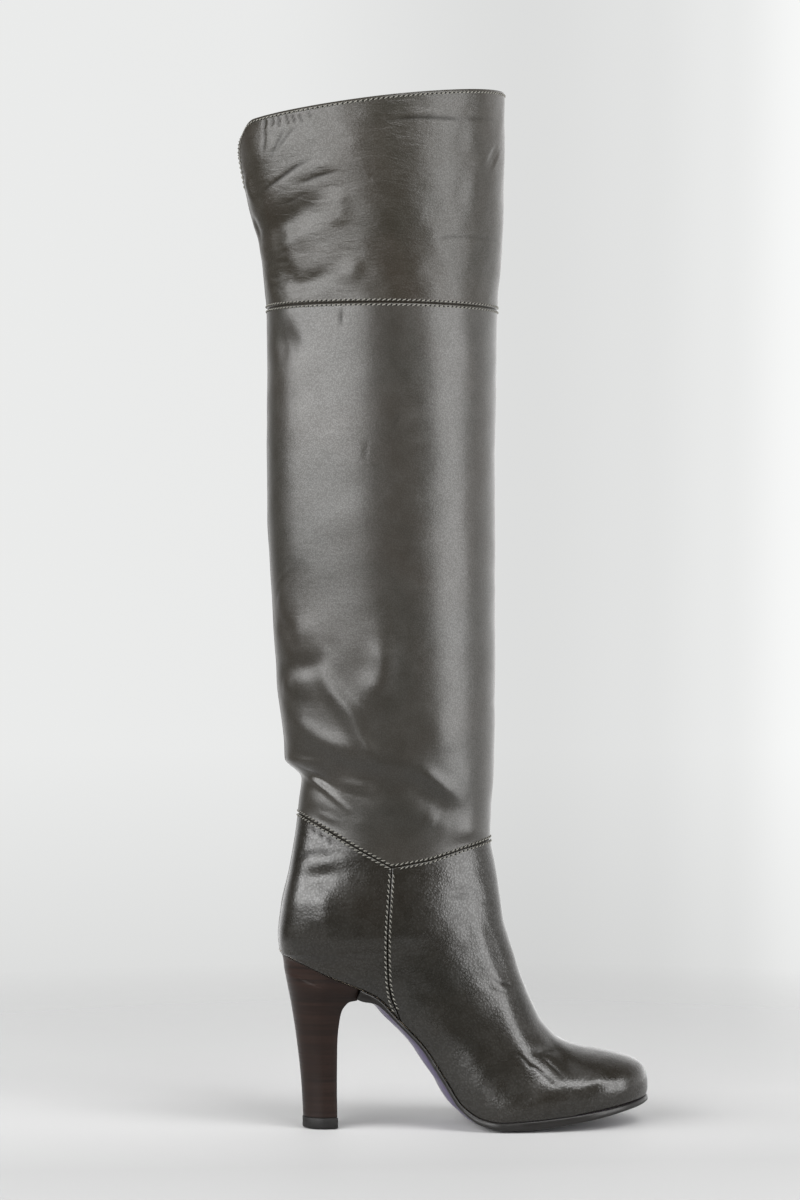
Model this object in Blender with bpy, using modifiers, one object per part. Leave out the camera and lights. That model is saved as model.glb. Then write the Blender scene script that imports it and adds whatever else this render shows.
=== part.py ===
"""Tall over-the-knee leather boot for the right foot, on a high stacked heel.

The boot stands on the floor plane, z = 0. +X points to the toe, +Z up, and -Y is the outer side.
Every leather panel is a patch of one surface: a fan of cross-sections that runs down the leg, turns
round the heel and runs out to the toe. The sole pieces are plates bent along the same sole line.
"""

import math
from collections import namedtuple

import bmesh
import bpy
import numpy as np

MM = 0.001
WELD = 0.00002  # points closer than this are one

# Driving dimensions, in millimetres
WALL = 1.8  # leather with its lining
GAP = 0.3  # clearance where two pieces meet
HEEL_BACK_X = -98.0  # rearmost point of the line where upper meets sole
HEEL_ROUND_X = -70.0  # where the round of the heel seat starts
TOE_ROUND_X = 72.0  # where the round of the toe starts
TOE_TIP_X = 123.8
TOE_SWING = 4.0  # the tip leans this far towards the inner side
HEEL_ROUND = 2.05  # superellipse power of the heel seat's plan
TOE_ROUND = 2.05
BREAST_X = -52.0  # front of the heel, where the outsole starts
SLIT_HALF_WIDTH = 7.0  # slit in the back of the cuff, at the collar
SLIT_TAPER = 0.8  # power by which the slit narrows
SLIT_CORNER = 18.0  # radius that rounds the cuff's corners at the slit
SEAM_FRONT = (30.0, 172.0)  # ankle seam, side view: at the shin, at the side, at the back
SEAM_POINT = (-34.7, 156.8)
SEAM_BACK = (-87.5, 187.5)
INSOLE_THICK = 2.4
SOLE_REACH = 0.7  # the outsole stands this far outside the upper
SOLE_BEAD = 0.7  # chamfer along the top of the sole edge
SOLE_BEVEL = 1.0  # bevel along the bottom of the sole edge
LIFT_THICK = 6.5
LIFT_REACH = 0.4
CENTRE_X = 0.9  # the middle of the boot's length, which is put at x = 0
HEEL_INSET = 0.6  # the heel's top is this far inside the upper
HEEL_D_ROUND = 0.62  # share of the heel's depth that its round back takes
HEEL_SIDE = (0.82, 0.99)  # a point of its side: share of its depth, share of its half-width
HEEL_CORNER = 0.95  # share of its depth where the side turns into the breast
HEEL_BREAST = (0.90, 0.97)  # breast's share of the width, below and at the heel seat
HEEL_HOLLOW = 0.04  # how hollow the breast is, as a share of the depth

# The sole line from back to toe. z is its height, outer and inner are half-widths from y = 0,
# edge is the outsole's thickness at its edge, and tread the height of the middle of its underside.
SoleRow = namedtuple("SoleRow", "x z outer inner edge tread")
SOLE_ROWS = [
    SoleRow(-98.0, 104.0, 26.5, 26.5, 5.5, 98.0),
    SoleRow(-86.0, 99.0, 26.5, 26.5, 5.5, 93.2),
    SoleRow(-70.0, 91.4, 26.5, 26.2, 5.5, 85.6),
    SoleRow(-50.0, 82.9, 26.0, 25.0, 5.7, 77.4),
    SoleRow(-41.0, 77.9, 25.3, 23.4, 3.2, 74.2),
    SoleRow(-31.0, 67.2, 24.5, 21.5, 1.8, 64.1),
    SoleRow(-13.5, 48.6, 24.5, 20.0, 1.8, 45.5),
    SoleRow(-1.5, 29.7, 27.0, 23.0, 1.8, 27.4),
    SoleRow(8.7, 14.2, 30.5, 27.5, 2.2, 11.2),
    SoleRow(20.0, 7.3, 35.0, 33.0, 3.6, 2.4),
    SoleRow(30.0, 5.6, 38.0, 36.5, 4.2, 0.0),
    SoleRow(48.0, 6.6, 39.3, 39.0, 4.9, 0.0),
    SoleRow(56.0, 7.3, 39.2, 38.9, 4.9, 0.9),
    SoleRow(72.0, 9.0, 38.4, 38.6, 4.5, 3.2),
    SoleRow(88.0, 11.1, 38.4, 38.6, 4.1, 6.1),
    SoleRow(104.0, 13.5, 38.4, 38.6, 3.5, 9.4),
    SoleRow(TOE_TIP_X, 16.4, 38.4, 38.6, 3.0, 13.1),
]

# Cross-sections of the leg, from the collar down. Each is a closed oval in the plane through its
# back and front points. widest is the share of its depth where it is widest, and the rounds are
# superellipse powers of its back and front halves.
LegRow = namedtuple("LegRow", "back_x back_z front_x front_z half widest back_round front_round")
LEG_ROWS = {
    "collar": LegRow(-122.0, 598.0, 37.0, 619.0, 60.0, 0.50, 1.95, 1.85),
    "under collar": LegRow(-122.7, 583.0, 37.0, 588.0, 60.0, 0.50, 1.95, 1.85),
    "slit end": LegRow(-114.8, 541.0, 36.0, 542.0, 57.6, 0.50, 1.95, 1.85),
    "cuff": LegRow(-110.6, 525.0, 35.3, 525.0, 56.5, 0.50, 1.95, 1.83),
    "cuff seam": LegRow(-106.3, 488.5, 32.8, 488.5, 54.5, 0.50, 1.97, 1.85),
    "shaft top": LegRow(-105.9, 458.0, 32.2, 458.0, 53.5, 0.50, 2.0, 1.93),
    "calf": LegRow(-105.8, 375.0, 31.2, 375.0, 52.0, 0.50, 2.05, 2.0),
    "lower calf": LegRow(-103.5, 327.0, 31.3, 327.0, 50.0, 0.50, 2.1, 2.0),
    "shin": LegRow(-99.9, 267.0, 31.3, 267.0, 47.0, 0.49, 2.1, 2.0),
    "above fold": LegRow(-96.0, 231.0, 30.8, 232.0, 44.5, 0.49, 2.1, 2.0),
    "fold lip": LegRow(-95.3, 220.0, 30.6, 222.0, 43.2, 0.48, 2.1, 2.0),
    "fold tuck": LegRow(-85.2, 208.0, 30.2, 207.0, 40.0, 0.48, 2.1, 2.0),
    "ankle seam": LegRow(-87.2, 191.0, 29.0, 188.0, 37.0, 0.47, 2.1, 2.0),
    "ankle": LegRow(-89.0, 175.5, 28.5, 173.5, 34.8, 0.46, 2.3, 1.95),
    "under ankle": LegRow(-92.7, 154.0, 31.5, 157.5, 33.8, 0.45, 2.8, 1.85),
    "counter": LegRow(-97.2, 133.5, 34.0, 140.0, 35.0, 0.43, 3.3, 1.85),
    "heel bulge": LegRow(-99.4, 115.0, 36.9, 121.5, 34.6, 0.42, 3.1, 1.95),
    "heel seat": LegRow(HEEL_BACK_X, 104.0, 39.9, 111.0, 33.0, 0.42, 2.7, 2.0),
}

# Cross-sections of the foot, from the heel to the toe. Each stands on the sole line at sole_x and
# ends at its front point on the ridge of the instep, which lies ridge to the inner side.
FootRow = namedtuple(
    "FootRow", "sole_x front_x front_z outer inner widest back_round front_round ridge"
)
FOOT_ROWS = {
    "heel start": FootRow(-95.3, 41.2, 107.0, 32.6, 32.0, 0.42, 2.7, 2.00, 0.3),
    "heel": FootRow(-86.0, 43.6, 100.0, 31.9, 31.2, 0.42, 2.6, 2.05, 0.6),
    "heel middle": FootRow(-70.0, 46.6, 90.0, 31.2, 30.2, 0.42, 2.4, 2.10, 1.0),
    "breast": FootRow(-50.0, 50.1, 81.0, 30.8, 29.5, 0.42, 2.2, 2.20, 1.4),
    "waist start": FootRow(-41.0, 52.2, 76.5, 31.1, 29.7, 0.41, 2.2, 2.20, 1.7),
    "waist": FootRow(-31.0, 54.4, 72.0, 31.5, 30.0, 0.40, 2.2, 2.25, 2.0),
    "arch": FootRow(-13.5, 59.3, 62.5, 33.5, 32.0, 0.38, 2.1, 2.25, 2.5),
    "behind ball": FootRow(-1.5, 64.8, 56.0, 36.0, 35.0, 0.36, 2.1, 2.25, 3.0),
    "ball back": FootRow(8.7, 70.8, 50.8, 38.5, 37.5, 0.34, 2.0, 2.20, 3.3),
    "ball rise": FootRow(22.0, 77.6, 47.3, 41.0, 40.0, 0.32, 2.0, 2.20, 3.6),
    "ball": FootRow(38.0, 85.5, 45.0, 42.5, 41.5, 0.30, 2.0, 2.20, 3.8),
    "vamp": FootRow(51.0, 95.0, 43.3, 42.0, 41.6, 0.28, 2.0, 2.20, 4.0),
    "toe top": FootRow(60.0, 105.6, 41.3, 40.8, 40.8, 0.26, 2.0, 2.30, 4.0),
    "toe slope": FootRow(65.5, 115.3, 38.4, 39.9, 40.0, 0.22, 2.0, 2.30, 4.0),
    "toe front": FootRow(69.0, 121.2, 34.2, 39.3, 39.4, 0.16, 2.0, 2.30, 4.0),
    "toe wall": FootRow(71.0, 124.0, 27.6, 38.9, 39.0, 0.10, 2.0, 2.25, 4.0),
    "toe foot": FootRow(71.7, 124.5, 21.0, 38.6, 38.8, 0.04, 2.0, 2.15, 4.0),
    "toe seam": FootRow(TOE_ROUND_X, TOE_TIP_X, 16.4, 38.4, 38.6, 0.0, 2.0, TOE_ROUND, TOE_SWING),
}

# The heel block, from its foot up. Each section is a D between a back and a front point.
HeelRow = namedtuple("HeelRow", "back_x back_z front_x front_z half")
HEEL_ROWS = [
    HeelRow(-84.3, LIFT_THICK + GAP, -64.6, LIFT_THICK + GAP, 13.0),
    HeelRow(-85.5, 27.0, -64.9, 27.0, 13.8),
    HeelRow(-88.0, 50.0, -64.8, 50.0, 15.8),
    HeelRow(-90.7, 68.5, -63.6, 65.0, 18.6),
    HeelRow(-92.6, 79.0, -62.4, 70.6, 20.8),
    HeelRow(-94.3, 87.5, -60.4, 74.0, 22.7),
    HeelRow(-95.2, 92.0, -57.8, 76.2, 23.8),
    HeelRow(-95.8, 95.5, -55.7, 77.0, 24.6),
    HeelRow(HEEL_BACK_X + HEEL_INSET, 103.4, BREAST_X - 0.5, 83.4, 25.9),
]

LEG_COUNT = len(LEG_ROWS)
ROW_NAMES = list(LEG_ROWS) + list(FOOT_ROWS)
ROW_OF = {name: index for index, name in enumerate(ROW_NAMES)}
HEEL_ROW = ROW_OF["heel seat"]
LAST_ROW = len(ROW_NAMES) - 1

# Mesh density
HALF_COLUMNS = 14  # columns in half a ring, evenly spread
EDGE_STOPS = (0.012, 0.03, 0.045)  # further columns beside the back seam and the sole
CURVE_SAMPLES = 48  # points that a half ring is measured with
STATION_STEP = 5.0  # along the sole, in millimetres
ROUND_STATIONS = 8  # stations round the heel seat or the toe
FINE_SAMPLES = 400  # points that the sole line is measured with
CROWN_COLUMNS = 4
HEEL_COLUMNS = 10  # columns round half of the heel's back

# Colours, linear, with roughness
OLIVE_LEATHER = ((0.045, 0.043, 0.037), 0.38)
PLUM_SOLE = ((0.050, 0.040, 0.080), 0.35)
STACKED_WOOD = ((0.028, 0.017, 0.013), 0.40)
BLACK_RUBBER = ((0.016, 0.016, 0.016), 0.70)
SAND_LINING = ((0.320, 0.260, 0.190), 0.60)


def metres(point):
    """A point of the tables in the boot's own frame."""
    return (np.asarray(point) - (CENTRE_X, 0.0, 0.0)) * MM


def smooth_curve(stations, values):
    """A function through the given points, made of cubic pieces that never overshoot."""
    stations = np.asarray(stations, float)
    values = np.asarray(values, float)
    step = np.diff(stations)
    slope = np.diff(values) / step
    tangent = np.zeros(len(stations))
    tangent[0] = slope[0]
    tangent[-1] = slope[-1]
    for k in range(1, len(stations) - 1):
        if slope[k - 1] * slope[k] > 0:
            before = 2 * step[k] + step[k - 1]
            after = step[k] + 2 * step[k - 1]
            tangent[k] = (before + after) / (before / slope[k - 1] + after / slope[k])

    def value(x):
        k = int(np.clip(np.searchsorted(stations, x) - 1, 0, len(step) - 1))
        s = float(np.clip((x - stations[k]) / step[k], 0.0, 1.0))
        return float(
            values[k] * (1 + 2 * s) * (1 - s) ** 2
            + values[k + 1] * s * s * (3 - 2 * s)
            + tangent[k] * step[k] * s * (1 - s) ** 2
            + tangent[k + 1] * step[k] * s * s * (s - 1)
        )

    return value


def column_curves(rows, stations=None):
    """One smooth curve for each named column of a table."""
    stations = range(len(rows)) if stations is None else stations
    return {
        name: smooth_curve(stations, [getattr(row, name) for row in rows])
        for name in rows[0]._fields
    }


SOLE = column_curves(SOLE_ROWS, [row.x for row in SOLE_ROWS])
BACK_X = smooth_curve(range(LEG_COUNT), [row.back_x for row in LEG_ROWS.values()])
BACK_Z = smooth_curve(range(LEG_COUNT), [row.back_z for row in LEG_ROWS.values()])
SOLE_X = smooth_curve(
    range(HEEL_ROW, LAST_ROW + 1), [HEEL_BACK_X] + [row.sole_x for row in FOOT_ROWS.values()]
)

RingRow = namedtuple("RingRow", "front_x front_z outer inner widest back_round front_round ridge")


def ring_row(row):
    """The columns that leg and foot sections share."""
    if isinstance(row, LegRow):
        return RingRow(
            row.front_x, row.front_z, row.half, row.half, row.widest, row.back_round, row.front_round, 0.0
        )
    return RingRow(*row[1:])


RING = column_curves([ring_row(row) for row in [*LEG_ROWS.values(), *FOOT_ROWS.values()]])


def end_factor(distance, length, power):
    """How a rounded end narrows: 1 at the start of its round, 0 at its tip."""
    share = min(max(distance / length, 0.0), 1.0)
    return (1 - share**power) ** (1 / power)


def sole_half_widths(x):
    """Half-widths of the sole's plan on the outer and inner side, and the sideways shift of the toe."""
    heel = end_factor(HEEL_ROUND_X - x, HEEL_ROUND_X - HEEL_BACK_X, HEEL_ROUND)
    toe = end_factor(x - TOE_ROUND_X, TOE_TIP_X - TOE_ROUND_X, TOE_ROUND)
    shift = TOE_SWING * max(x - TOE_ROUND_X, 0.0) / (TOE_TIP_X - TOE_ROUND_X)
    return SOLE["outer"](x) * heel * toe, SOLE["inner"](x) * heel * toe, shift


def slit_half_width(t):
    """Half the width of the slit in the back of the cuff."""
    share = 1 - t / ROW_OF["slit end"]
    return SLIT_HALF_WIDTH * max(share, 0.0) ** SLIT_TAPER


def half_ring(t, side):
    """Half a section at row t, from its back or sole edge to its front, as points (depth, width)."""
    if t > HEEL_ROW:
        x = SOLE_X(t)
        back = np.array([x, SOLE["z"](x)])
        opening = sole_half_widths(x)[0 if side < 0 else 1]
    else:
        back = np.array([BACK_X(t), BACK_Z(t)])
        opening = slit_half_width(t)
    front = np.array([RING["front_x"](t), RING["front_z"](t)])
    depth = float(np.linalg.norm(front - back))
    half = max(RING["outer" if side < 0 else "inner"](t), opening)
    widest = RING["widest"](t) * depth
    back_power = 2 / RING["back_round"](t)
    front_power = 2 / RING["front_round"](t)
    start = math.asin(min((opening / half) ** (1 / back_power), 0.999))
    reach = math.cos(start) ** back_power
    angles = np.linspace(start, math.pi / 2, CURVE_SAMPLES)
    rear = [
        (widest * (1 - math.cos(a) ** back_power / reach), half * math.sin(a) ** back_power)
        for a in angles[:-1]
    ]
    angles = np.linspace(math.pi / 2, 0, CURVE_SAMPLES)
    fore = [
        (widest + (depth - widest) * math.cos(a) ** front_power, half * math.sin(a) ** front_power)
        for a in angles
    ]
    return back, front, np.array(rear + fore)


def surface_point(t, u, side):
    """The boot's outer surface: row t down the boot, share u of the half ring from back to front."""
    back, front, curve = half_ring(t, side)
    along = np.concatenate([[0.0], np.cumsum(np.linalg.norm(np.diff(curve, axis=0), axis=1))])
    depth = np.interp(u * along[-1], along, curve[:, 0])
    width = np.interp(u * along[-1], along, curve[:, 1])
    share = depth / np.linalg.norm(front - back)
    x, z = back + (front - back) * share
    y = RING["ridge"](t) * share + side * width
    return np.array([x, y, z])


def row_where(test, low, high, u, side):
    """The row between low and high where test(point) changes from above to below."""
    for _ in range(40):
        middle = (low + high) / 2
        if test(surface_point(middle, u, side)):
            low = middle
        else:
            high = middle
    return (low + high) / 2


def ankle_seam_height(x):
    """Height of the ankle seam, a shallow V in side view."""
    xs, zs = zip(SEAM_BACK, SEAM_POINT, SEAM_FRONT)
    return float(np.interp(x, xs, zs))


def ankle_seam_row(u, side, lift):
    """The row that meets the ankle seam, or lies lift above it."""
    return row_where(
        lambda p: p[2] > ankle_seam_height(p[0]) + lift, ROW_OF["shin"], HEEL_ROW, u, side
    )


def height_row(u, side, height):
    """The row of the cuff or upper shaft at this height."""
    return row_where(lambda p: p[2] > height, 0.0, ROW_OF["shaft top"], u, side)


def collar_row(u, side):
    """The cuff's top row, lowered round the corner at the slit."""
    top = surface_point(0.0, u, side)
    away = np.linalg.norm(top - surface_point(0.0, 0.0, side))
    inside = max(SLIT_CORNER - away, 0.0)
    drop = SLIT_CORNER - math.sqrt(SLIT_CORNER**2 - inside**2)
    return 0.0 if drop == 0 else height_row(u, side, top[2] - drop)


def ring_stops():
    """(share, side) of each column, from the back seam round the outer side and back by the inner."""
    half = sorted({k / HALF_COLUMNS for k in range(HALF_COLUMNS + 1)} | set(EDGE_STOPS))
    return [(u, -1) for u in half] + [(u, 1) for u in reversed(half[:-1])]


def even_rows(start, end, count):
    """Rows from start to end at equal steps, without the end."""
    return [start + (end - start) * k / count for k in range(count)]


def new_object(name, mesh, finish):
    """A mesh object in the boot's collection, with its own material."""
    colour, roughness = finish
    material = bpy.data.materials.new(name)
    material.use_nodes = True
    shader = material.node_tree.nodes["Principled BSDF"]
    shader.inputs["Base Color"].default_value = (*colour, 1.0)
    shader.inputs["Roughness"].default_value = roughness
    shader.inputs["Metallic"].default_value = 0.0
    mesh.materials.append(material)
    mesh.shade_smooth()
    mesh.set_sharp_from_angle(angle=math.radians(40))
    made = bpy.data.objects.new(name, mesh)
    bpy.data.collections["tall_boot"].objects.link(made)
    return made


def mesh_of(bm, name):
    """A mesh from the bmesh, with its faces turned outwards."""
    bmesh.ops.remove_doubles(bm, verts=bm.verts, dist=WELD)
    bmesh.ops.recalc_face_normals(bm, faces=bm.faces)
    mesh = bpy.data.meshes.new(name)
    bm.to_mesh(mesh)
    bm.free()
    return mesh


def add_strip(bm, first, second):
    """Faces between two rows of vertices of the same length."""
    for k in range(len(first) - 1):
        bm.faces.new((first[k], first[k + 1], second[k + 1], second[k]))


def leather_panel(name, rows_of_column):
    """A hollow panel: a patch of the boot's surface, thickened inwards to the wall.

    rows_of_column(u, side) lists the rows of one column, from the top of the panel down.
    """
    bm = bmesh.new()
    columns = []
    for u, side in ring_stops():
        points = [surface_point(t, u, side) for t in rows_of_column(u, side)]
        columns.append([bm.verts.new(metres(point)) for point in points])
    columns.append(
        [bm.verts.new(metres(surface_point(t, 0.0, 1))) for t in rows_of_column(0.0, 1)]
    )
    for first, second in zip(columns, columns[1:]):
        add_strip(bm, first, second)
    panel = new_object(name, mesh_of(bm, name), OLIVE_LEATHER)
    wall = panel.modifiers.new("wall", "SOLIDIFY")
    wall.thickness = WALL * MM
    wall.offset = -1.0
    wall.use_even_offset = True
    wall.use_quality_normals = True
    return panel


def add_cuff():
    """The cuff, open in a rounded slit at the back."""

    def rows(u, side):
        slit_end = ROW_OF["slit end"]
        seam = height_row(u, side, LEG_ROWS["cuff seam"].back_z + GAP / 2)
        return even_rows(collar_row(u, side), slit_end, 5) + even_rows(slit_end, seam, 3) + [seam]

    return leather_panel("cuff", rows)


def add_shaft():
    """The leg of the boot, from the cuff's seam down to the ankle seam, with the fold at its back."""

    def rows(u, side):
        top = height_row(u, side, LEG_ROWS["cuff seam"].back_z - GAP / 2)
        fold = ROW_OF["above fold"] - 0.3
        seam = ankle_seam_row(u, side, GAP / 2)
        return even_rows(top, fold, 6) + even_rows(fold, seam, 10) + [seam]

    return leather_panel("shaft", rows)


def add_upper():
    """Vamp and counter as one hollow shell, open at the ankle and underneath."""

    def rows(u, side):
        seam = ankle_seam_row(u, side, -GAP / 2)
        foot = [HEEL_ROW + k / 2 for k in range(2 * (LAST_ROW - HEEL_ROW) + 1) if k != 1]
        return even_rows(seam, HEEL_ROW, 6) + foot

    return leather_panel("upper", rows)


def sole_frame(x):
    """Point of the sole line at x, with its tangent and its normal, in side view."""
    step = 0.05
    point = np.array([x, SOLE["z"](x)])
    ahead = np.array([x + step, SOLE["z"](x + step)])
    behind = np.array([x - step, SOLE["z"](x - step)])
    tangent = (ahead - behind) / np.linalg.norm(ahead - behind)
    return point, np.array([-tangent[1], tangent[0]])


def on_sole(x, y, rise):
    """A point at this rise over the sole line, square to it."""
    point, normal = sole_frame(x)
    px, pz = point + normal * rise
    return metres((px, y, pz))


def sole_stations(start_x):
    """x of the stations from start_x to the toe: evenly spaced along the sole, closer at round ends."""
    quarter = np.linspace(0.0, math.pi / 2, ROUND_STATIONS)
    middle_start = max(start_x, HEEL_ROUND_X)
    heel = [HEEL_ROUND_X - (HEEL_ROUND_X - start_x) * math.cos(a) for a in quarter[:-1]]
    toe = [TOE_ROUND_X + (TOE_TIP_X - TOE_ROUND_X) * math.sin(a) for a in quarter[1:]]
    fine = np.linspace(middle_start, TOE_ROUND_X, FINE_SAMPLES)
    line = np.array([(x, SOLE["z"](x)) for x in fine])
    along = np.concatenate([[0.0], np.cumsum(np.linalg.norm(np.diff(line, axis=0), axis=1))])
    even = np.linspace(0.0, along[-1], round(along[-1] / STATION_STEP))
    middle = list(np.interp(even, along, fine))
    return (heel if start_x < HEEL_ROUND_X else []) + middle + toe


def plan_points(start_x, inset):
    """The outer and inner line of the sole's plan, from start_x to the toe, drawn in by inset."""
    rows = []
    for x in sole_stations(start_x):
        outer, inner, shift = sole_half_widths(x)
        rows.append((x, shift - outer, shift + inner))
    plan = np.array(rows)
    moved = []
    for column in (1, 2):
        line = plan[:, [0, column]]
        slope = np.gradient(line, axis=0)
        if plan[0, 1] == plan[0, 2]:
            slope[0] = (0.0, -1.0 if column == 1 else 1.0)
        slope[-1] = (0.0, 1.0 if column == 1 else -1.0)
        slope /= np.linalg.norm(slope, axis=1)[:, None]
        inward = np.stack([-slope[:, 1], slope[:, 0]], axis=1) * (1 if column == 1 else -1)
        moved.append(line + inward * inset)
    return moved


def tread_rise(x):
    """How far the middle of the outsole's underside lies over the sole line, square to it."""
    point, normal = sole_frame(x)
    return (SOLE["tread"](x) - point[1]) / normal[1]


def sole_plate(name, start_x, layers, middle, finish):
    """A plate bent along the sole line.

    layers lists (inset, rise) of its edge profile from top to bottom, where rise is a function of
    x. middle(x) is the rise of the middle half of its bottom.
    """
    bm = bmesh.new()
    rings = []
    for inset, rise in layers:
        outer, inner = plan_points(start_x, inset)
        rings.append(
            [[bm.verts.new(on_sole(x, y, rise(x))) for x, y in line] for line in (outer, inner)]
        )
    for upper, lower in zip(rings, rings[1:]):
        add_strip(bm, lower[0], upper[0])
        add_strip(bm, upper[1], lower[1])
        bm.faces.new((upper[0][0], lower[0][0], lower[1][0], upper[1][0]))
    add_strip(bm, rings[0][0], rings[0][1])
    outer, inner = plan_points(start_x, layers[-1][0])
    columns = [rings[-1][0]]
    for k in range(1, CROWN_COLUMNS):
        share = k / CROWN_COLUMNS
        line = outer + (inner - outer) * share
        bulge = min((1 - (2 * share - 1) ** 2) / 0.75, 1.0)
        rises = [layers[-1][1](x) * (1 - bulge) + middle(x) * bulge for x in line[:, 0]]
        columns.append(
            [bm.verts.new(on_sole(x, y, rise)) for (x, y), rise in zip(line, rises)]
        )
    columns.append(rings[-1][1])
    for first, second in zip(columns, columns[1:]):
        add_strip(bm, second, first)
    bm.faces.new([column[0] for column in columns])
    return new_object(name, mesh_of(bm, name), finish)


def add_outsole():
    """The leather outsole, from the heel's breast to the toe, with a bead and a bevel on its edge."""
    top = -GAP
    layers = [
        (SOLE_BEAD - SOLE_REACH, lambda x: top),
        (-SOLE_REACH, lambda x: top - SOLE_BEAD),
        (-SOLE_REACH, lambda x: -SOLE["edge"](x) - GAP + min(SOLE_BEVEL, SOLE["edge"](x) / 3)),
        (SOLE_BEVEL - SOLE_REACH, lambda x: -SOLE["edge"](x) - GAP),
    ]
    return sole_plate("outsole", BREAST_X, layers, tread_rise, PLUM_SOLE)


def add_insole():
    """The insole, which closes the upper from heel to toe."""
    inset = WALL + 2 * GAP
    layers = [(inset, lambda x: INSOLE_THICK), (inset, lambda x: 0.0)]
    return sole_plate("insole", HEEL_BACK_X, layers, lambda x: 0.0, SAND_LINING)


def heel_d_shape(seat_share):
    """Half of the heel's D plan, from its back to the middle of its breast, as (depth, width) shares.

    Its breast is hollow below, and straight where it meets the sole, at a seat_share of 1.
    """
    power = 2 / HEEL_ROUND
    width = np.interp(seat_share, (0, 1), HEEL_BREAST)
    hollow = HEEL_HOLLOW * (1 - seat_share)
    back = [
        (HEEL_D_ROUND * (1 - math.cos(a) ** power), math.sin(a) ** power)
        for a in np.linspace(0.0, math.pi / 2, HEEL_COLUMNS)
    ]
    side = [HEEL_SIDE, (HEEL_CORNER, (1 + width) / 2), (1.0, width)]
    breast = [(1.0 - hollow * (1 - share**2), width * share) for share in (2 / 3, 1 / 3, 0.0)]
    return back + side + breast


def heel_ring(row, seat_share):
    """One D section of the heel, bent to the heel seat by seat_share."""
    points = []
    for side in (-1, 1):
        line = []
        for depth, width in heel_d_shape(seat_share):
            x = row.back_x + (row.front_x - row.back_x) * depth
            flat_z = row.back_z + (row.front_z - row.back_z) * depth
            seat_z = SOLE["z"](x) - GAP
            line.append(np.array([x, side * row.half * width, flat_z + (seat_z - flat_z) * seat_share]))
        points.append(line)
    return points


def loft_halves(name, rings, finish):
    """A solid lofted through rings, each given as its outer and inner half, with both ends closed."""
    bm = bmesh.new()
    levels = [[[bm.verts.new(metres(p)) for p in half] for half in ring] for ring in rings]
    for low, high in zip(levels, levels[1:]):
        add_strip(bm, low[0], high[0])
        add_strip(bm, high[1], low[1])
    add_strip(bm, levels[0][1], levels[0][0])
    add_strip(bm, levels[-1][0], levels[-1][1])
    return new_object(name, mesh_of(bm, name), finish)


def add_heel():
    """The stacked heel block, from the top lift up to the heel seat."""
    columns = column_curves(HEEL_ROWS)
    last = len(HEEL_ROWS) - 1
    levels = np.linspace(0.0, last, 2 * last + 1)
    rings = []
    for level in levels:
        row = HeelRow(*(columns[name](level) for name in HeelRow._fields))
        rings.append(heel_ring(row, max(level - last + 1, 0.0)))
    return loft_halves("heel", rings, STACKED_WOOD)


def add_top_lift():
    """The rubber top lift that the heel stands on."""
    foot = HEEL_ROWS[0]
    wide = HeelRow(
        foot.back_x - LIFT_REACH, 0.0, foot.front_x + LIFT_REACH, 0.0, foot.half + LIFT_REACH
    )
    rings = [
        heel_ring(wide, 0.0),
        heel_ring(wide._replace(back_z=LIFT_THICK, front_z=LIFT_THICK), 0.0),
    ]
    return loft_halves("top_lift", rings, BLACK_RUBBER)


def main():
    for old in list(bpy.data.objects):
        bpy.data.objects.remove(old, do_unlink=True)
    bpy.context.scene.collection.children.link(bpy.data.collections.new("tall_boot"))
    add_upper()
    add_shaft()
    add_cuff()
    add_insole()
    add_outsole()
    add_heel()
    add_top_lift()


main()
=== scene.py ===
"""Looks of the tall leather boot: panels with folds, seams and stitches, sole, heel, light and camera.

Sizes in the tables are millimetres, in the frame of the part's own tables. The panels are patches of
the part's surface, drawn finer, with creases and folds placed on them.
"""

import math

import bmesh
import bpy
import numpy as np
from mathutils.kdtree import KDTree
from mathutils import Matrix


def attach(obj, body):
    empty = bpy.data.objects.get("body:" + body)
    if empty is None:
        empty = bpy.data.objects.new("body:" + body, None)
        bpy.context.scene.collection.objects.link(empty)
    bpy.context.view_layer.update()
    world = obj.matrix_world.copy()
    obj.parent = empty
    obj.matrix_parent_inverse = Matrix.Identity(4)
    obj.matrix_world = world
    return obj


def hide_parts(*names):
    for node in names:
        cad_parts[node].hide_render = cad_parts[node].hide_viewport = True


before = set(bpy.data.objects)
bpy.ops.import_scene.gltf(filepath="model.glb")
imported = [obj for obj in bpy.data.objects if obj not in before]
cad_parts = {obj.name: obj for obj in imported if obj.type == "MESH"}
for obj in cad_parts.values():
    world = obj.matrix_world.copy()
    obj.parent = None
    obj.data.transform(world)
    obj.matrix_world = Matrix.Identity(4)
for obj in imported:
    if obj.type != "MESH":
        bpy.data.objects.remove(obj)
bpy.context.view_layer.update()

MM = 0.001
CENTRE_X = 0.9  # x of the tables at the frame's origin
WALL = 1.8  # leather with its lining
GAP = 0.3  # clearance where two pieces meet
SEAM_LAP = 0.05  # half of the gap between two panels at a seam
HEEL_BACK_X = -98.0
HEEL_ROUND_X = -70.0
TOE_ROUND_X = 72.0
TOE_TIP_X = 123.8
TOE_SWING = 4.0  # how far the toe lies to the inner side
HEEL_ROUND = 2.05
TOE_ROUND = 2.05
BREAST_X = -52.0  # where the outsole starts, at the heel's breast
SLIT_HALF_WIDTH = 7.0  # slit in the back of the cuff, at the collar
SLIT_TAPER = 0.8  # power by which the slit narrows
SLIT_CORNER = 18.0  # radius that rounds the cuff's corners at the slit
CUFF_SEAM_Z = 488.5
SOLE_REACH = 0.7  # how far the sole's edge stands past the upper
LIFT_THICK = 6.5
LIFT_REACH = 0.4  # how far the top lift stands past the heel
HEEL_D_ROUND = 0.62  # share of the heel's depth that its round back takes
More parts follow.
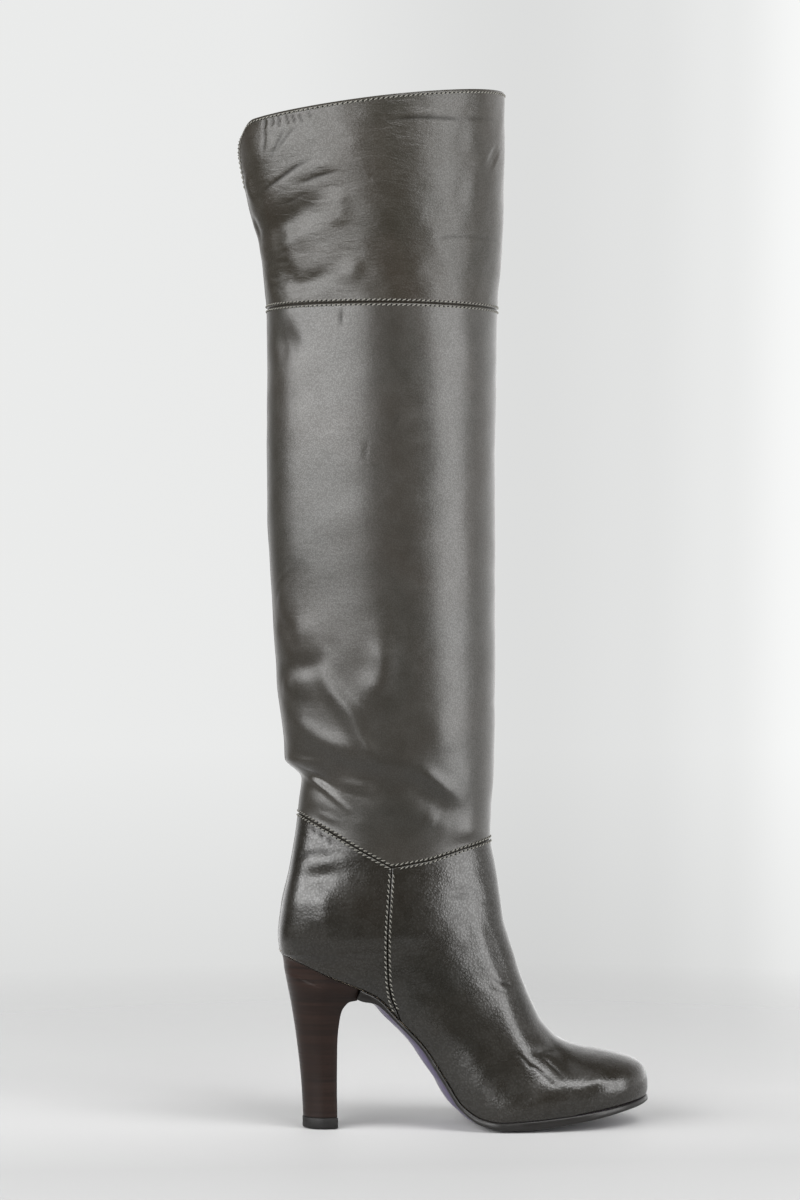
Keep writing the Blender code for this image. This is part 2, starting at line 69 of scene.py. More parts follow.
HEEL_SIDE = (0.82, 0.99)  # shares of depth and width on the D's side
HEEL_CORNER = 0.95
HEEL_BREAST = (0.90, 0.97)  # width shares of the breast, low and at the seat
HEEL_HOLLOW = 0.04  # how far the breast is hollowed, as a share of the depth

# x, z along the V of the ankle seam
ANKLE_SEAM = (
    (-87.5, 187.5), (-70.8, 178.0), (-53.6, 167.3), (-34.7, 156.8),
    (-11.8, 160.6), (9.9, 167.0), (30.0, 172.0),
)
# z, x up the seam between quarter and vamp
SIDE_SEAM = (
    (60.0, -27.0), (68.8, -29.9), (78.1, -33.8), (90.3, -36.2),
    (114.1, -37.0), (137.8, -35.8), (156.9, -34.7), (240.0, -34.7),
)

# x, z, outer, inner, edge, tread
SOLE_ROWS = np.array([
    (-98.0, 104.0, 26.5, 26.5, 5.5, 98.0),
    (-86.0, 99.0, 26.5, 26.5, 5.5, 93.2),
    (-70.0, 91.4, 26.5, 26.2, 5.5, 85.6),
    (-50.0, 82.9, 26.0, 25.0, 5.7, 77.4),
    (-41.0, 77.9, 25.3, 23.4, 3.2, 74.2),
    (-31.0, 67.2, 24.5, 21.5, 1.8, 64.1),
    (-13.5, 48.6, 24.5, 20.0, 1.8, 45.5),
    (-1.5, 29.7, 27.0, 23.0, 1.8, 27.4),
    (8.7, 14.2, 30.5, 27.5, 2.2, 11.2),
    (20.0, 7.3, 35.0, 33.0, 3.6, 2.4),
    (30.0, 5.6, 38.0, 36.5, 4.2, 0.0),
    (48.0, 6.6, 39.3, 39.0, 4.9, 0.0),
    (56.0, 7.3, 39.2, 38.9, 4.9, 0.9),
    (72.0, 9.0, 38.4, 38.6, 4.5, 3.2),
    (88.0, 11.1, 38.4, 38.6, 4.1, 6.1),
    (104.0, 13.5, 38.4, 38.6, 3.5, 9.4),
    (TOE_TIP_X, 16.4, 38.4, 38.6, 3.0, 13.1),
])

# back_x, back_z, front_x, front_z, half, widest, back_round, front_round
LEG_ROWS = np.array([
    (-122.0, 598.0, 37.0, 619.0, 60.0, 0.50, 1.95, 1.85),
    (-122.7, 583.0, 37.0, 588.0, 60.0, 0.50, 1.95, 1.85),
    (-114.8, 541.0, 36.0, 542.0, 57.6, 0.50, 1.95, 1.85),
    (-110.6, 525.0, 35.3, 525.0, 56.5, 0.50, 1.95, 1.83),
    (-106.3, 488.5, 32.8, 488.5, 54.5, 0.50, 1.97, 1.85),
    (-105.9, 458.0, 32.2, 458.0, 53.5, 0.50, 2.0, 1.93),
    (-105.8, 375.0, 31.2, 375.0, 52.0, 0.50, 2.05, 2.0),
    (-103.5, 327.0, 31.3, 327.0, 50.0, 0.50, 2.1, 2.0),
    (-99.9, 267.0, 31.3, 267.0, 47.0, 0.49, 2.1, 2.0),
    (-96.0, 231.0, 30.8, 232.0, 44.5, 0.49, 2.1, 2.0),
    (-95.3, 220.0, 30.6, 222.0, 43.2, 0.48, 2.1, 2.0),
    (-85.2, 208.0, 30.2, 207.0, 40.0, 0.48, 2.1, 2.0),
    (-87.2, 191.0, 29.0, 188.0, 37.0, 0.47, 2.1, 2.0),
    (-89.0, 175.5, 28.5, 173.5, 34.8, 0.46, 2.3, 1.95),
    (-92.7, 154.0, 31.5, 157.5, 33.8, 0.45, 2.8, 1.85),
    (-97.2, 133.5, 34.0, 140.0, 35.0, 0.43, 3.3, 1.85),
    (-99.4, 115.0, 36.9, 121.5, 34.6, 0.42, 3.1, 1.95),
    (HEEL_BACK_X, 104.0, 39.9, 111.0, 33.0, 0.42, 2.7, 2.0),
])

# sole_x, front_x, front_z, outer, inner, widest, back_round, front_round, ridge
FOOT_ROWS = np.array([
    (-95.3, 41.2, 107.0, 32.6, 32.0, 0.42, 2.7, 2.00, 0.3),
    (-86.0, 43.6, 100.0, 31.9, 31.2, 0.42, 2.6, 2.05, 0.6),
    (-70.0, 46.6, 90.0, 31.2, 30.2, 0.42, 2.4, 2.10, 1.0),
    (-50.0, 50.1, 81.0, 30.8, 29.5, 0.42, 2.2, 2.20, 1.4),
    (-41.0, 52.2, 76.5, 31.1, 29.7, 0.41, 2.2, 2.20, 1.7),
    (-31.0, 54.4, 72.0, 31.5, 30.0, 0.40, 2.2, 2.25, 2.0),
    (-13.5, 59.3, 62.5, 33.5, 32.0, 0.38, 2.1, 2.25, 2.5),
    (-1.5, 64.8, 56.0, 36.0, 35.0, 0.36, 2.1, 2.25, 3.0),
    (8.7, 70.8, 50.8, 38.5, 37.5, 0.34, 2.0, 2.20, 3.3),
    (22.0, 77.6, 47.3, 41.0, 40.0, 0.32, 2.0, 2.20, 3.6),
    (38.0, 85.5, 45.0, 42.5, 41.5, 0.30, 2.0, 2.20, 3.8),
    (51.0, 95.0, 43.3, 42.0, 41.6, 0.28, 2.0, 2.20, 4.0),
    (60.0, 105.6, 41.3, 40.8, 40.8, 0.26, 2.0, 2.30, 4.0),
    (65.5, 115.3, 38.4, 39.9, 40.0, 0.22, 2.0, 2.30, 4.0),
    (69.0, 121.2, 34.2, 39.3, 39.4, 0.16, 2.0, 2.30, 4.0),
    (71.0, 124.0, 27.6, 38.9, 39.0, 0.10, 2.0, 2.25, 4.0),
    (71.7, 124.5, 21.0, 38.6, 38.8, 0.04, 2.0, 2.15, 4.0),
    (TOE_ROUND_X, TOE_TIP_X, 16.4, 38.4, 38.6, 0.0, 2.0, TOE_ROUND, TOE_SWING),
])

# back_x, back_z, front_x, front_z, half
HEEL_ROWS = np.array([
    (-84.3, LIFT_THICK + GAP, -64.6, LIFT_THICK + GAP, 13.0),
    (-85.5, 27.0, -64.9, 27.0, 13.8),
    (-88.0, 50.0, -64.8, 50.0, 15.8),
    (-90.7, 68.5, -63.6, 65.0, 18.6),
    (-92.6, 79.0, -62.4, 70.6, 20.8),
    (-94.3, 87.5, -60.4, 74.0, 22.7),
    (-95.2, 92.0, -57.8, 76.2, 23.8),
    (-95.8, 95.5, -53.4, 77.3, 24.6),
    (-97.4, 103.4, -52.5, 83.4, 25.9),
])

HEEL_ROW = len(LEG_ROWS) - 1
LAST_ROW = len(LEG_ROWS) + len(FOOT_ROWS) - 1
SLIT_END = 2  # row where the slit ends
SHIN_ROW = 8  # a row over the ankle seam
TABLE_STEPS = 24  # rows of the surface's table between two rows of sections
TABLE_T = np.linspace(0.0, LAST_ROW, LAST_ROW * TABLE_STEPS + 1)
TABLE_SHARES = np.linspace(0.0, 1.0, 361)
CURVE_SAMPLES = 400
OUTER = -1
INNER = 1


def metres(points):
    """Points of the tables, in metres and in the frame."""
    return (np.asarray(points) - (CENTRE_X, 0.0, 0.0)) * MM


def unit(vectors):
    """Vectors made one long."""
    return vectors / np.maximum(np.linalg.norm(vectors, axis=-1, keepdims=True), 1e-9)


def run_along(line):
    """Length of a line up to each of its points."""
    return np.append(0.0, np.cumsum(np.linalg.norm(np.diff(line, axis=0), axis=1)))


def smooth_curve(stations, values):
    """A function through the given points, made of cubic pieces that never overshoot."""
    stations = np.asarray(stations, float)
    values = np.asarray(values, float)
    step = np.diff(stations)
    slope = np.diff(values) / step
    tangent = np.zeros(len(stations))
    tangent[0] = slope[0]
    tangent[-1] = slope[-1]
    for k in range(1, len(stations) - 1):
        if slope[k - 1] * slope[k] > 0:
            before = 2 * step[k] + step[k - 1]
            after = step[k] + 2 * step[k - 1]
            tangent[k] = (before + after) / (before / slope[k - 1] + after / slope[k])

    def value(x):
        x = np.asarray(x, float)
        k = np.clip(np.searchsorted(stations, x) - 1, 0, len(step) - 1)
        s = np.clip((x - stations[k]) / step[k], 0.0, 1.0)
        return (
            values[k] * (1 + 2 * s) * (1 - s) ** 2
            + values[k + 1] * s * s * (3 - 2 * s)
            + tangent[k] * step[k] * s * (1 - s) ** 2
            + tangent[k + 1] * step[k] * s * s * (s - 1)
        )

    return value


SOLE_Z, SOLE_OUTER, SOLE_INNER, SOLE_EDGE, SOLE_TREAD = (
    smooth_curve(SOLE_ROWS[:, 0], SOLE_ROWS[:, k]) for k in range(1, 6)
)
LEG_INDEX = np.arange(HEEL_ROW + 1)
BACK_X = smooth_curve(LEG_INDEX, LEG_ROWS[:, 0])
BACK_Z = smooth_curve(LEG_INDEX, LEG_ROWS[:, 1])
SOLE_X = smooth_curve(np.arange(HEEL_ROW, LAST_ROW + 1), np.append(HEEL_BACK_X, FOOT_ROWS[:, 0]))
LEG_RING = np.column_stack([LEG_ROWS[:, [2, 3, 4, 4, 5, 6, 7]], np.zeros(len(LEG_ROWS))])
RING_ROWS = np.vstack([LEG_RING, FOOT_ROWS[:, 1:]])
FRONT_X, FRONT_Z, HALF_OUTER, HALF_INNER, WIDEST, BACK_ROUND, FRONT_ROUND, RIDGE = (
    smooth_curve(np.arange(LAST_ROW + 1), RING_ROWS[:, k]) for k in range(8)
)
SEAM_X = smooth_curve([z for z, _ in SIDE_SEAM], [x for _, x in SIDE_SEAM])


def end_factor(distance, length, power):
    """How much a plan narrows at this distance into its rounded end."""
    share = np.clip(distance / length, 0.0, 1.0)
    return (1 - share**power) ** (1 / power)


def sole_half_widths(x):
    """Half-widths of the sole's plan on the outer and inner side, and the sideways shift of the toe."""
    heel = end_factor(HEEL_ROUND_X - x, HEEL_ROUND_X - HEEL_BACK_X, HEEL_ROUND)
    toe = end_factor(x - TOE_ROUND_X, TOE_TIP_X - TOE_ROUND_X, TOE_ROUND)
    shift = TOE_SWING * np.maximum(x - TOE_ROUND_X, 0.0) / (TOE_TIP_X - TOE_ROUND_X)
    return SOLE_OUTER(x) * heel * toe, SOLE_INNER(x) * heel * toe, shift


def surface_table(side):
    """Points of the boot's outer surface at fine rows, and the length of each half ring."""
    t = TABLE_T
    foot = t > HEEL_ROW
    sole_x = SOLE_X(t)
    back_x = np.where(foot, sole_x, BACK_X(t))
    back_z = np.where(foot, SOLE_Z(sole_x), BACK_Z(t))
    sole_width = sole_half_widths(sole_x)[0 if side == OUTER else 1]
    slit = SLIT_HALF_WIDTH * np.maximum(1 - t / SLIT_END, 0.0) ** SLIT_TAPER
    opening = np.where(foot, sole_width, slit)
    front_x = FRONT_X(t)
    front_z = FRONT_Z(t)
    depth = np.hypot(front_x - back_x, front_z - back_z)
    half = np.maximum(HALF_OUTER(t) if side == OUTER else HALF_INNER(t), opening)
    widest = WIDEST(t) * depth
    back_power = 2 / BACK_ROUND(t)
    front_power = 2 / FRONT_ROUND(t)
    start = np.arcsin(np.minimum((opening / half) ** (1 / back_power), 0.999))
    points = np.zeros((len(t), len(TABLE_SHARES), 3))
    lengths = np.zeros(len(t))
    sweep = np.linspace(0.0, 1.0, CURVE_SAMPLES)
    for k in range(len(t)):
        a = start[k] + (math.pi / 2 - start[k]) * sweep[:-1]
        reach = math.cos(start[k]) ** back_power[k]
        b = math.pi / 2 * (1 - sweep)
        d = np.append(
            widest[k] * (1 - np.cos(a) ** back_power[k] / reach),
            widest[k] + (depth[k] - widest[k]) * np.cos(b) ** front_power[k],
        )
        w = np.append(half[k] * np.sin(a) ** back_power[k], half[k] * np.sin(b) ** front_power[k])
        along = np.append(0.0, np.cumsum(np.hypot(np.diff(d), np.diff(w))))
        lengths[k] = along[-1]
        share = np.interp(TABLE_SHARES * along[-1], along, d) / depth[k]
        width = np.interp(TABLE_SHARES * along[-1], along, w)
        points[k, :, 0] = back_x[k] + (front_x[k] - back_x[k]) * share
        points[k, :, 1] = RIDGE(t[k]) * share + side * width
        points[k, :, 2] = back_z[k] + (front_z[k] - back_z[k]) * share
    return points, lengths


TABLE = {}
RING_LENGTH = {}
for which in (OUTER, INNER):
    TABLE[which], RING_LENGTH[which] = surface_table(which)


def surface(t, u, side):
    """Points of the surface at rows t and shares u of one side's half ring."""
    table = TABLE[side]
    a = np.clip(np.asarray(t) * TABLE_STEPS, 0, table.shape[0] - 1.000001)
    b = np.clip(np.asarray(u) * (table.shape[1] - 1), 0, table.shape[1] - 1.000001)
    i = a.astype(int)
    j = b.astype(int)
    p = (a - i)[..., None]
    q = (b - j)[..., None]
    low = table[i, j] * (1 - p) + table[i + 1, j] * p
    high = table[i, j + 1] * (1 - p) + table[i + 1, j + 1] * p
    return low * (1 - q) + high * q


def ring_length(t, side):
    return np.interp(t, TABLE_T, RING_LENGTH[side])


def side_seam_shares(side):
    """Share of each half ring where the seam between quarter and vamp crosses it, for each table row."""
    gap = TABLE[side][:, :, 0] - SEAM_X(TABLE[side][:, :, 2])
    behind = gap < 0
    last = np.where(behind.any(axis=1), behind.shape[1] - 1 - np.argmax(behind[:, ::-1], axis=1), -1)
    shares = np.zeros(len(gap))
    for k, j in enumerate(last):
        if 0 <= j < gap.shape[1] - 1:
            part = gap[k, j] / (gap[k, j] - gap[k, j + 1])
            shares[k] = TABLE_SHARES[j] + part * (TABLE_SHARES[1] - TABLE_SHARES[0])
    return shares


SEAM_SHARE = {}
SEAM_FOOT = {}  # row where the seam meets the sole
for which in (OUTER, INNER):
    SEAM_SHARE[which] = side_seam_shares(which)
    SEAM_FOOT[which] = TABLE_T[np.argmax((SEAM_SHARE[which] <= 0) & (TABLE_T > HEEL_ROW))]


def seam_share(t, side):
    return np.interp(t, TABLE_T, SEAM_SHARE[side])


def ankle_seam_height(x):
    return np.interp(x, [p[0] for p in ANKLE_SEAM], [p[1] for p in ANKLE_SEAM])


def first_drop(t, height):
    """The first t where height falls to zero."""
    k = int(np.argmax(height <= 0))
    if k == 0:
        return float(t[0])
    return float(t[k - 1] + (t[k] - t[k - 1]) * height[k - 1] / (height[k - 1] - height[k]))


# Distances from an edge at which a panel has a row or a column of points.
EDGE_STEPS = np.array((0.0, 0.25, 0.5, 0.8, 1.15, 1.55, 2.05, 2.7, 3.5))


def squeeze(length, ends):
    """Factor that keeps the fine steps at both ends within a third of a short line."""
    return np.minimum(1.0, length / (3.0 * (ends + 0.01)))


def stops(length, count):
    """Distances along a line: fine beside its ends and even between them."""
    ends = EDGE_STEPS * squeeze(length, 2 * EDGE_STEPS[-1])
    middle = np.linspace(ends[-1], length - ends[-1], count - 2 * len(ends) + 2)
    return np.concatenate([ends[:-1], middle, (length - ends[::-1])[1:]])


class Panel:
    """A grid of points on the boot's surface, from its top edge down and from its first column across."""

    def __init__(self, columns, span, rows):
        """columns lists (side, share of row t); span(side, share) gives a column's first and last row."""
        self.points = np.zeros((rows, len(columns), 3))
        self.from_top = np.zeros((rows, len(columns)))
        self.from_bottom = np.zeros((rows, len(columns)))
        for c, (side, share) in enumerate(columns):
            first, last = span(side, share)
            t = np.linspace(first, last, 900)
            path = surface(t, share(t), side)
            along = run_along(path)
            s = stops(along[-1], rows)
            at = np.interp(s, along, t)
            self.points[:, c] = surface(at, share(at), side)
            self.from_top[:, c] = s
            self.from_bottom[:, c] = along[-1] - s
        steps = np.linalg.norm(np.diff(self.points, axis=1), axis=2)
        across = np.concatenate([np.zeros((rows, 1)), np.cumsum(steps, axis=1)], axis=1)
        self.from_first = across
        self.from_last = across[:, -1:] - across
        self.normals = grid_normals(self.points)
        self.crease_shade = np.zeros(self.from_top.shape)

    def raise_by(self, height):
        self.points = self.points + self.normals * height[..., None]
        self.normals = grid_normals(self.points)


def grid_normals(points):
    """Outward normals of a grid whose rows run down and whose columns run across."""
    normal = unit(np.cross(np.gradient(points, axis=0), np.gradient(points, axis=1)))
    middle = points.mean(axis=(0, 1))
    flip = np.sign(np.sum(normal * (points - middle)))
    return normal * flip


def edge_columns(count, low, high, side, far=(0.0,)):
    """Columns between two lines on one side's half ring, finer beside the first line.

    low(t) and high(t) are shares of the half ring, and far has the steps beside the second line."""
    near = EDGE_STEPS
    far = np.asarray(far)
    ends = near[-1] + far[-1]
    made = []

    def column(pick):
        def share(t):
            length = ring_length(t, side)
            a = low(t) * length
            b = high(t) * length
            return np.clip(pick(a, b, squeeze(b - a, ends)) / length, 0.0, 1.0)

        return side, share

    for d in near[:-1]:
        made.append(column(lambda a, b, k, d=d: a + d * k))
    for w in np.linspace(0.0, 1.0, count - len(near) - len(far) + 2):
        made.append(column(lambda a, b, k, w=w: a + near[-1] * k + w * (b - a - ends * k)))
    for d in far[::-1][1:]:
        made.append(column(lambda a, b, k, d=d: b - d * k))
    return made


def whole(value):
    """The same share at every row."""
    return lambda t: np.full(np.shape(t), value)


def both_sides(count, low_outer, low_inner):
    """Columns from the outer side's line round the front to the inner side's line."""
    outer = edge_columns(count, low_outer, whole(1.0), OUTER)
    inner = edge_columns(count, low_inner, whole(1.0), INNER)
    return outer + inner[::-1][1:]


def cuff_span(side, share):
    """Rows of a cuff column: from the collar, rounded at the slit, to the cuff's seam."""
    top = surface(0.0, share(0.0), side)
    away = np.linalg.norm(top - surface(0.0, 0.0, side))
    inside = max(SLIT_CORNER - away, 0.0)
    drop = SLIT_CORNER - math.sqrt(SLIT_CORNER**2 - inside**2)
    t = np.linspace(0.0, 5.0, 1200)
    z = surface(t, share(t), side)[:, 2]
    first = first_drop(t, z - (top[2] - drop)) if drop > 0 else 0.0
    return first, first_drop(t, z - CUFF_SEAM_Z + SEAM_LAP)


def shaft_span(side, share):
    """Rows of a shaft column: from the cuff's seam to the ankle seam."""
    t = np.linspace(3.0, HEEL_ROW, 3000)
    p = surface(t, share(t), side)
    first = first_drop(t, p[:, 2] - CUFF_SEAM_Z - SEAM_LAP)
    over = p[:, 2] - ankle_seam_height(p[:, 0]) + SEAM_LAP
    over[t < SHIN_ROW] = 1.0
    return first, first_drop(t, over)


def upper_span(last_row):
    """Rows of a quarter's or the vamp's column: from the ankle seam to this row."""
    def span(side, share):
        t = np.linspace(SHIN_ROW, HEEL_ROW + 2, 3000)
        p = surface(t, share(t), side)
        return first_drop(t, p[:, 2] - ankle_seam_height(p[:, 0]) - SEAM_LAP), last_row

    return span


def cut_corners(points, rounds=3):
    """A line with its corners rounded."""
    points = np.asarray(points, float)
    for _ in range(rounds):
        early = points[:-1] * 0.75 + points[1:] * 0.25
        late = points[:-1] * 0.25 + points[1:] * 0.75
        inner = np.stack([early, late], axis=1).reshape(-1, points.shape[1])
        points = np.concatenate([points[:1], inner, points[-1:]])
    return points


def on_surface(side, places):
    """Surface points of one side at these x and z."""
    flat = TABLE[side].reshape(-1, 3)
    found = []
    for x, z in places:
        found.append(flat[np.argmin((flat[:, 0] - x) ** 2 + (flat[:, 2] - z) ** 2)])
    return np.array(found)


def line_distance(points, line):
    """Distance of each point from a line, and the share of the line where it is nearest."""
    best = np.full(len(points), np.inf)
    along = np.zeros(len(points))
    lengths = np.linalg.norm(np.diff(line, axis=0), axis=1)
    run = 0.0
    for start, end, length in zip(line[:-1], line[1:], lengths):
        if length < 1e-6:
            continue
        way = (end - start) / length
        offset = points - start
        s = np.clip(offset @ way, 0.0, length)
        distance = np.linalg.norm(offset - s[:, None] * way, axis=1)
        nearer = distance < best
        best[nearer] = distance[nearer]
        along[nearer] = (run + s[nearer]) / lengths.sum()
        run += length
    return best, along


def soft_step(x):
    x = np.clip(x, 0.0, 1.0)
    return x * x * (3 - 2 * x)


PROFILES = {
    "soft": lambda x: np.exp(-(x**2)),
    "crease": lambda x: np.exp(-1.6 * np.sqrt(x**2 + 0.04) + 0.32),
}
FOLD_REACH = 4.0  # half widths within which a fold moves the surface
SOFT_END = 0.25  # share of its height that a soft fold keeps at its ends
CREASE_SHADE_DEPTH = 0.6  # depth from which a crease's painted shade is as dark as it gets
CREASE_SHADE_WIDTH = 0.55  # share of a crease's half width that gets painted shade

# Folds of the outer side, as the photo shows them: profile, height, half width, end taper, points (x, z).
CUFF_FOLDS = [
    ("crease", -0.7, 2.0, 0.4, [(-113, 554), (-103, 560), (-94, 567), (-86, 571), (-79, 573)]),
    ("soft", 0.6, 5.0, 0.4, [(-104, 557), (-90, 564), (-73, 568), (-56, 569)]),
    ("crease", -0.5, 1.8, 0.4, [(-94, 556), (-79, 562), (-64, 564)]),
    ("soft", -2.6, 8.5, 0.4, [(-113, 530), (-98, 536), (-84, 543), (-72, 550)]),
    ("soft", -0.9, 7.0, 0.4, [(-110, 514), (-97, 506), (-84, 499)]),
    ("soft", -0.5, 8.0, 0.4, [(8, 612), (7, 585), (6, 555), (5, 520)]),
    ("crease", -0.25, 1.6, 0.4, [(-107, 546), (-95, 549), (-83, 553)]),
    ("soft", 1.2, 6.5, 0.35, [(-68, 556), (-69, 545), (-67, 530)]),
    ("soft", 0.8, 8.0, 0.4, [(-104, 526), (-90, 528), (-78, 532)]),
    ("soft", -1.3, 5.0, 0.4, [(-98, 497), (-88, 499), (-78, 503), (-67, 509)]),
    ("soft", 0.7, 6.0, 0.4, [(-64, 498), (-60, 507), (-54, 515)]),
    ("crease", -0.6, 2.0, 0.35, [(-43, 593), (-22, 596), (-2, 597), (10, 598)]),
    ("soft", 0.45, 3.0, 0.35, [(-34, 596), (-20, 598), (-2, 599)]),
    ("crease", -0.3, 1.8, 0.35, [(4, 597), (17, 599), (31, 600)]),
    ("crease", -0.4, 1.8, 0.3, [(-18, 524), (0, 528), (20, 529), (32, 528)]),
    ("soft", -0.8, 8.0, 0.3, [(25, 581), (29, 574)]),
    ("soft", 1.5, 6.0, 0.4, [(-120, 568), (-117, 557), (-115, 548)]),
    ("soft", -1.0, 3.5, 0.4, [(-115, 543), (-113, 537), (-111, 529)]),
    ("crease", -0.4, 1.8, 0.4, [(-111, 598), (-109, 586), (-111, 574)]),
    ("crease", -0.4, 2.0, 0.4, [(-97, 593), (-103, 582), (-107, 570)]),
    ("crease", -0.35, 1.8, 0.4, [(-90, 593), (-98, 586), (-104, 575)]),
    ("crease", -0.8, 1.3, 0.3, [(-109, 598), (-110, 591)]),
    ("crease", -0.8, 1.3, 0.3, [(-105, 598), (-106, 592)]),
    ("crease", -0.8, 1.3, 0.3, [(-102, 599), (-101, 591)]),
    ("crease", -0.8, 1.3, 0.3, [(-98, 599), (-96, 592)]),
    ("crease", -0.8, 1.3, 0.3, [(-95, 599), (-92, 593)]),
    ("crease", -0.45, 1.5, 0.3, [(-91, 599), (-88, 593)]),
    ("crease", -0.35, 1.5, 0.3, [(-86, 600), (-83, 596)]),
    ("crease", -0.8, 1.4, 0.35, [(-108, 518), (-95, 520)]),
    ("crease", -0.8, 1.4, 0.35, [(-107, 513), (-95, 514)]),
    ("crease", -0.4, 1.4, 0.35, [(-107, 508), (-100, 505)]),
    ("crease", -0.4, 1.5, 0.35, [(-106, 503), (-98, 498)]),
    ("crease", -0.7, 1.4, 0.35, [(-105, 499), (-95, 503)]),
    ("crease", -0.7, 1.4, 0.35, [(-109, 523), (-98, 524)]),
]
SHAFT_FOLDS = [
    ("crease", -0.6, 1.6, 0.5, [(-66, 487), (-66, 478), (-66, 471)]),
    ("soft", -1.3, 10.0, 0.4, [(-103, 463), (-94, 466), (-87, 471)]),
    ("crease", -0.15, 1.8, 0.4, [(-31, 428), (-34, 420), (-37, 410)]),
    ("crease", -0.15, 1.8, 0.4, [(-50, 410), (-53, 394)]),
    ("soft", 0.6, 8.0, 0.4, [(-95, 297), (-86, 296), (-76, 297)]),
    ("soft", -1.5, 6.5, 0.35, [(-101, 275), (-92, 275), (-83, 276), (-77, 280), (-72, 285)]),
    ("soft", -0.9, 5.0, 0.4, [(-101, 300), (-96, 298), (-93, 291)]),
    ("soft", 0.5, 7.0, 0.4, [(-99, 332), (-97, 327)]),
    ("soft", 0.5, 7.0, 0.4, [(-100, 319), (-97, 314)]),
    ("soft", 1.6, 5.5, 0.3, [
        (-75, 283), (-75, 268), (-69, 257), (-61, 249), (-57, 240), (-52, 231), (-43, 219), (-36, 210),
    ]),
    ("soft", 2.3, 8.5, 0.35, [(-41, 296), (-41, 274), (-46, 262), (-54, 252)]),
    ("soft", 0.5, 6.0, 0.4, [(-98, 266), (-92, 262)]),
    ("soft", -0.4, 5.0, 0.4, [(-98, 255), (-86, 255), (-76, 250)]),
    ("soft", 1.3, 6.5, 0.35, [(-94, 245), (-82, 237), (-74, 231), (-62, 227), (-52, 226)]),
    ("soft", -1.9, 6.5, 0.35, [(-95, 224), (-82, 222), (-71, 219), (-60, 216), (-49, 213)]),
    ("soft", 0.6, 4.5, 0.4, [(-72, 211), (-60, 207), (-48, 203)]),
    ("soft", -1.0, 2.2, 0.4, [(-87, 215), (-76, 209), (-67, 204)]),
    ("soft", -0.3, 2.4, 0.4, [(-70, 206), (-58, 201), (-43, 197)]),
    ("soft", 1.0, 1.7, 0.4, [(-85, 211), (-77, 206), (-71, 201), (-64, 195), (-60, 191)]),
    ("soft", 0.8, 6.0, 0.4, [(-87, 199), (-76, 195), (-66, 189), (-56, 183)]),
    ("soft", 0.6, 2.4, 0.4, [(-80, 189), (-72, 186), (-65, 183)]),
    ("soft", 1.4, 4.5, 0.35, [(-23, 218), (-9, 208), (-2, 203), (6, 197)]),
    ("soft", -1.4, 7.0, 0.4, [(-33, 213), (-18, 201), (-2, 190), (8, 188)]),
    ("soft", 1.0, 6.0, 0.5, [(-1, 178), (12, 177), (25, 178)]),
    ("soft", 0.4, 6.0, 0.4, [(-17, 187), (-7, 183)]),
    ("soft", 0.7, 10.0, 0.4, [(-11, 254), (-6, 238), (0, 223)]),
    ("crease", 0.15, 1.6, 0.4, [(-35, 253), (-27, 261)]),
]
QUARTER_FOLDS = [
    ("crease", -0.6, 2.0, 0.35, [(-91, 157), (-88, 161), (-84, 164), (-76, 166), (-62, 165)]),
    ("soft", 0.9, 4.5, 0.4, [(-85, 157), (-76, 161), (-64, 161)]),
    ("soft", -0.9, 4.5, 0.4, [(-89, 148), (-78, 150), (-66, 152)]),
    ("soft", 1.2, 8.0, 0.35, [(-77, 146), (-76, 132), (-76, 116)]),
    ("crease", -0.4, 1.6, 0.3, [(-81, 181), (-79, 175)]),
    ("crease", -0.4, 1.6, 0.3, [(-77, 178), (-75, 172)]),
    ("crease", -0.4, 1.6, 0.3, [(-72, 175), (-70, 169)]),
    ("crease", -0.12, 1.6, 0.4, [(-77, 132), (-65, 132)]),
    ("crease", -0.12, 1.6, 0.4, [(-78, 127), (-66, 125)]),
]
VAMP_FOLDS = [
    ("crease", -0.3, 1.5, 0.4, [(-6, 143), (11, 144), (29, 139)]),
    ("crease", -0.22, 1.5, 0.4, [(-2, 141), (13, 140), (30, 135)]),
    ("crease", -0.2, 1.5, 0.4, [(-5, 138), (7, 138), (18, 136)]),
    ("crease", -0.25, 1.6, 0.4, [(18, 135), (27, 133), (35, 133)]),
    ("soft", -0.25, 5.0, 0.3, [(17, 133), (24, 117), (32, 98), (40, 80), (45, 64), (51, 51)]),
    ("soft", 0.5, 6.0, 0.3, [(13, 138), (19, 118), (25, 100), (34, 81), (40, 62)]),
    ("crease", -0.35, 1.6, 0.3, [(26, 90), (32, 86), (40, 85)]),
    ("crease", -0.3, 1.6, 0.3, [(22, 86), (29, 82), (38, 80)]),
    ("soft", -1.0, 2.2, 0.35, [(47, 45), (58, 46), (66, 47)]),
    ("soft", -0.8, 6.0, 0.4, [(58, 57), (66, 48), (72, 38), (75, 24)]),
    ("soft", 1.4, 9.5, 0.4, [(32, 75), (39, 56), (47, 42), (55, 30)]),
    ("soft", 1.0, 8.0, 0.4, [(81, 31), (93, 28), (102, 27)]),
    ("crease", -0.4, 1.6, 0.3, [(42, 41), (54, 36), (65, 25)]),
    ("crease", -0.35, 1.6, 0.3, [(52, 46), (62, 38), (70, 27)]),
    ("crease", -0.3, 1.6, 0.3, [(37, 48), (46, 41), (51, 31)]),
]

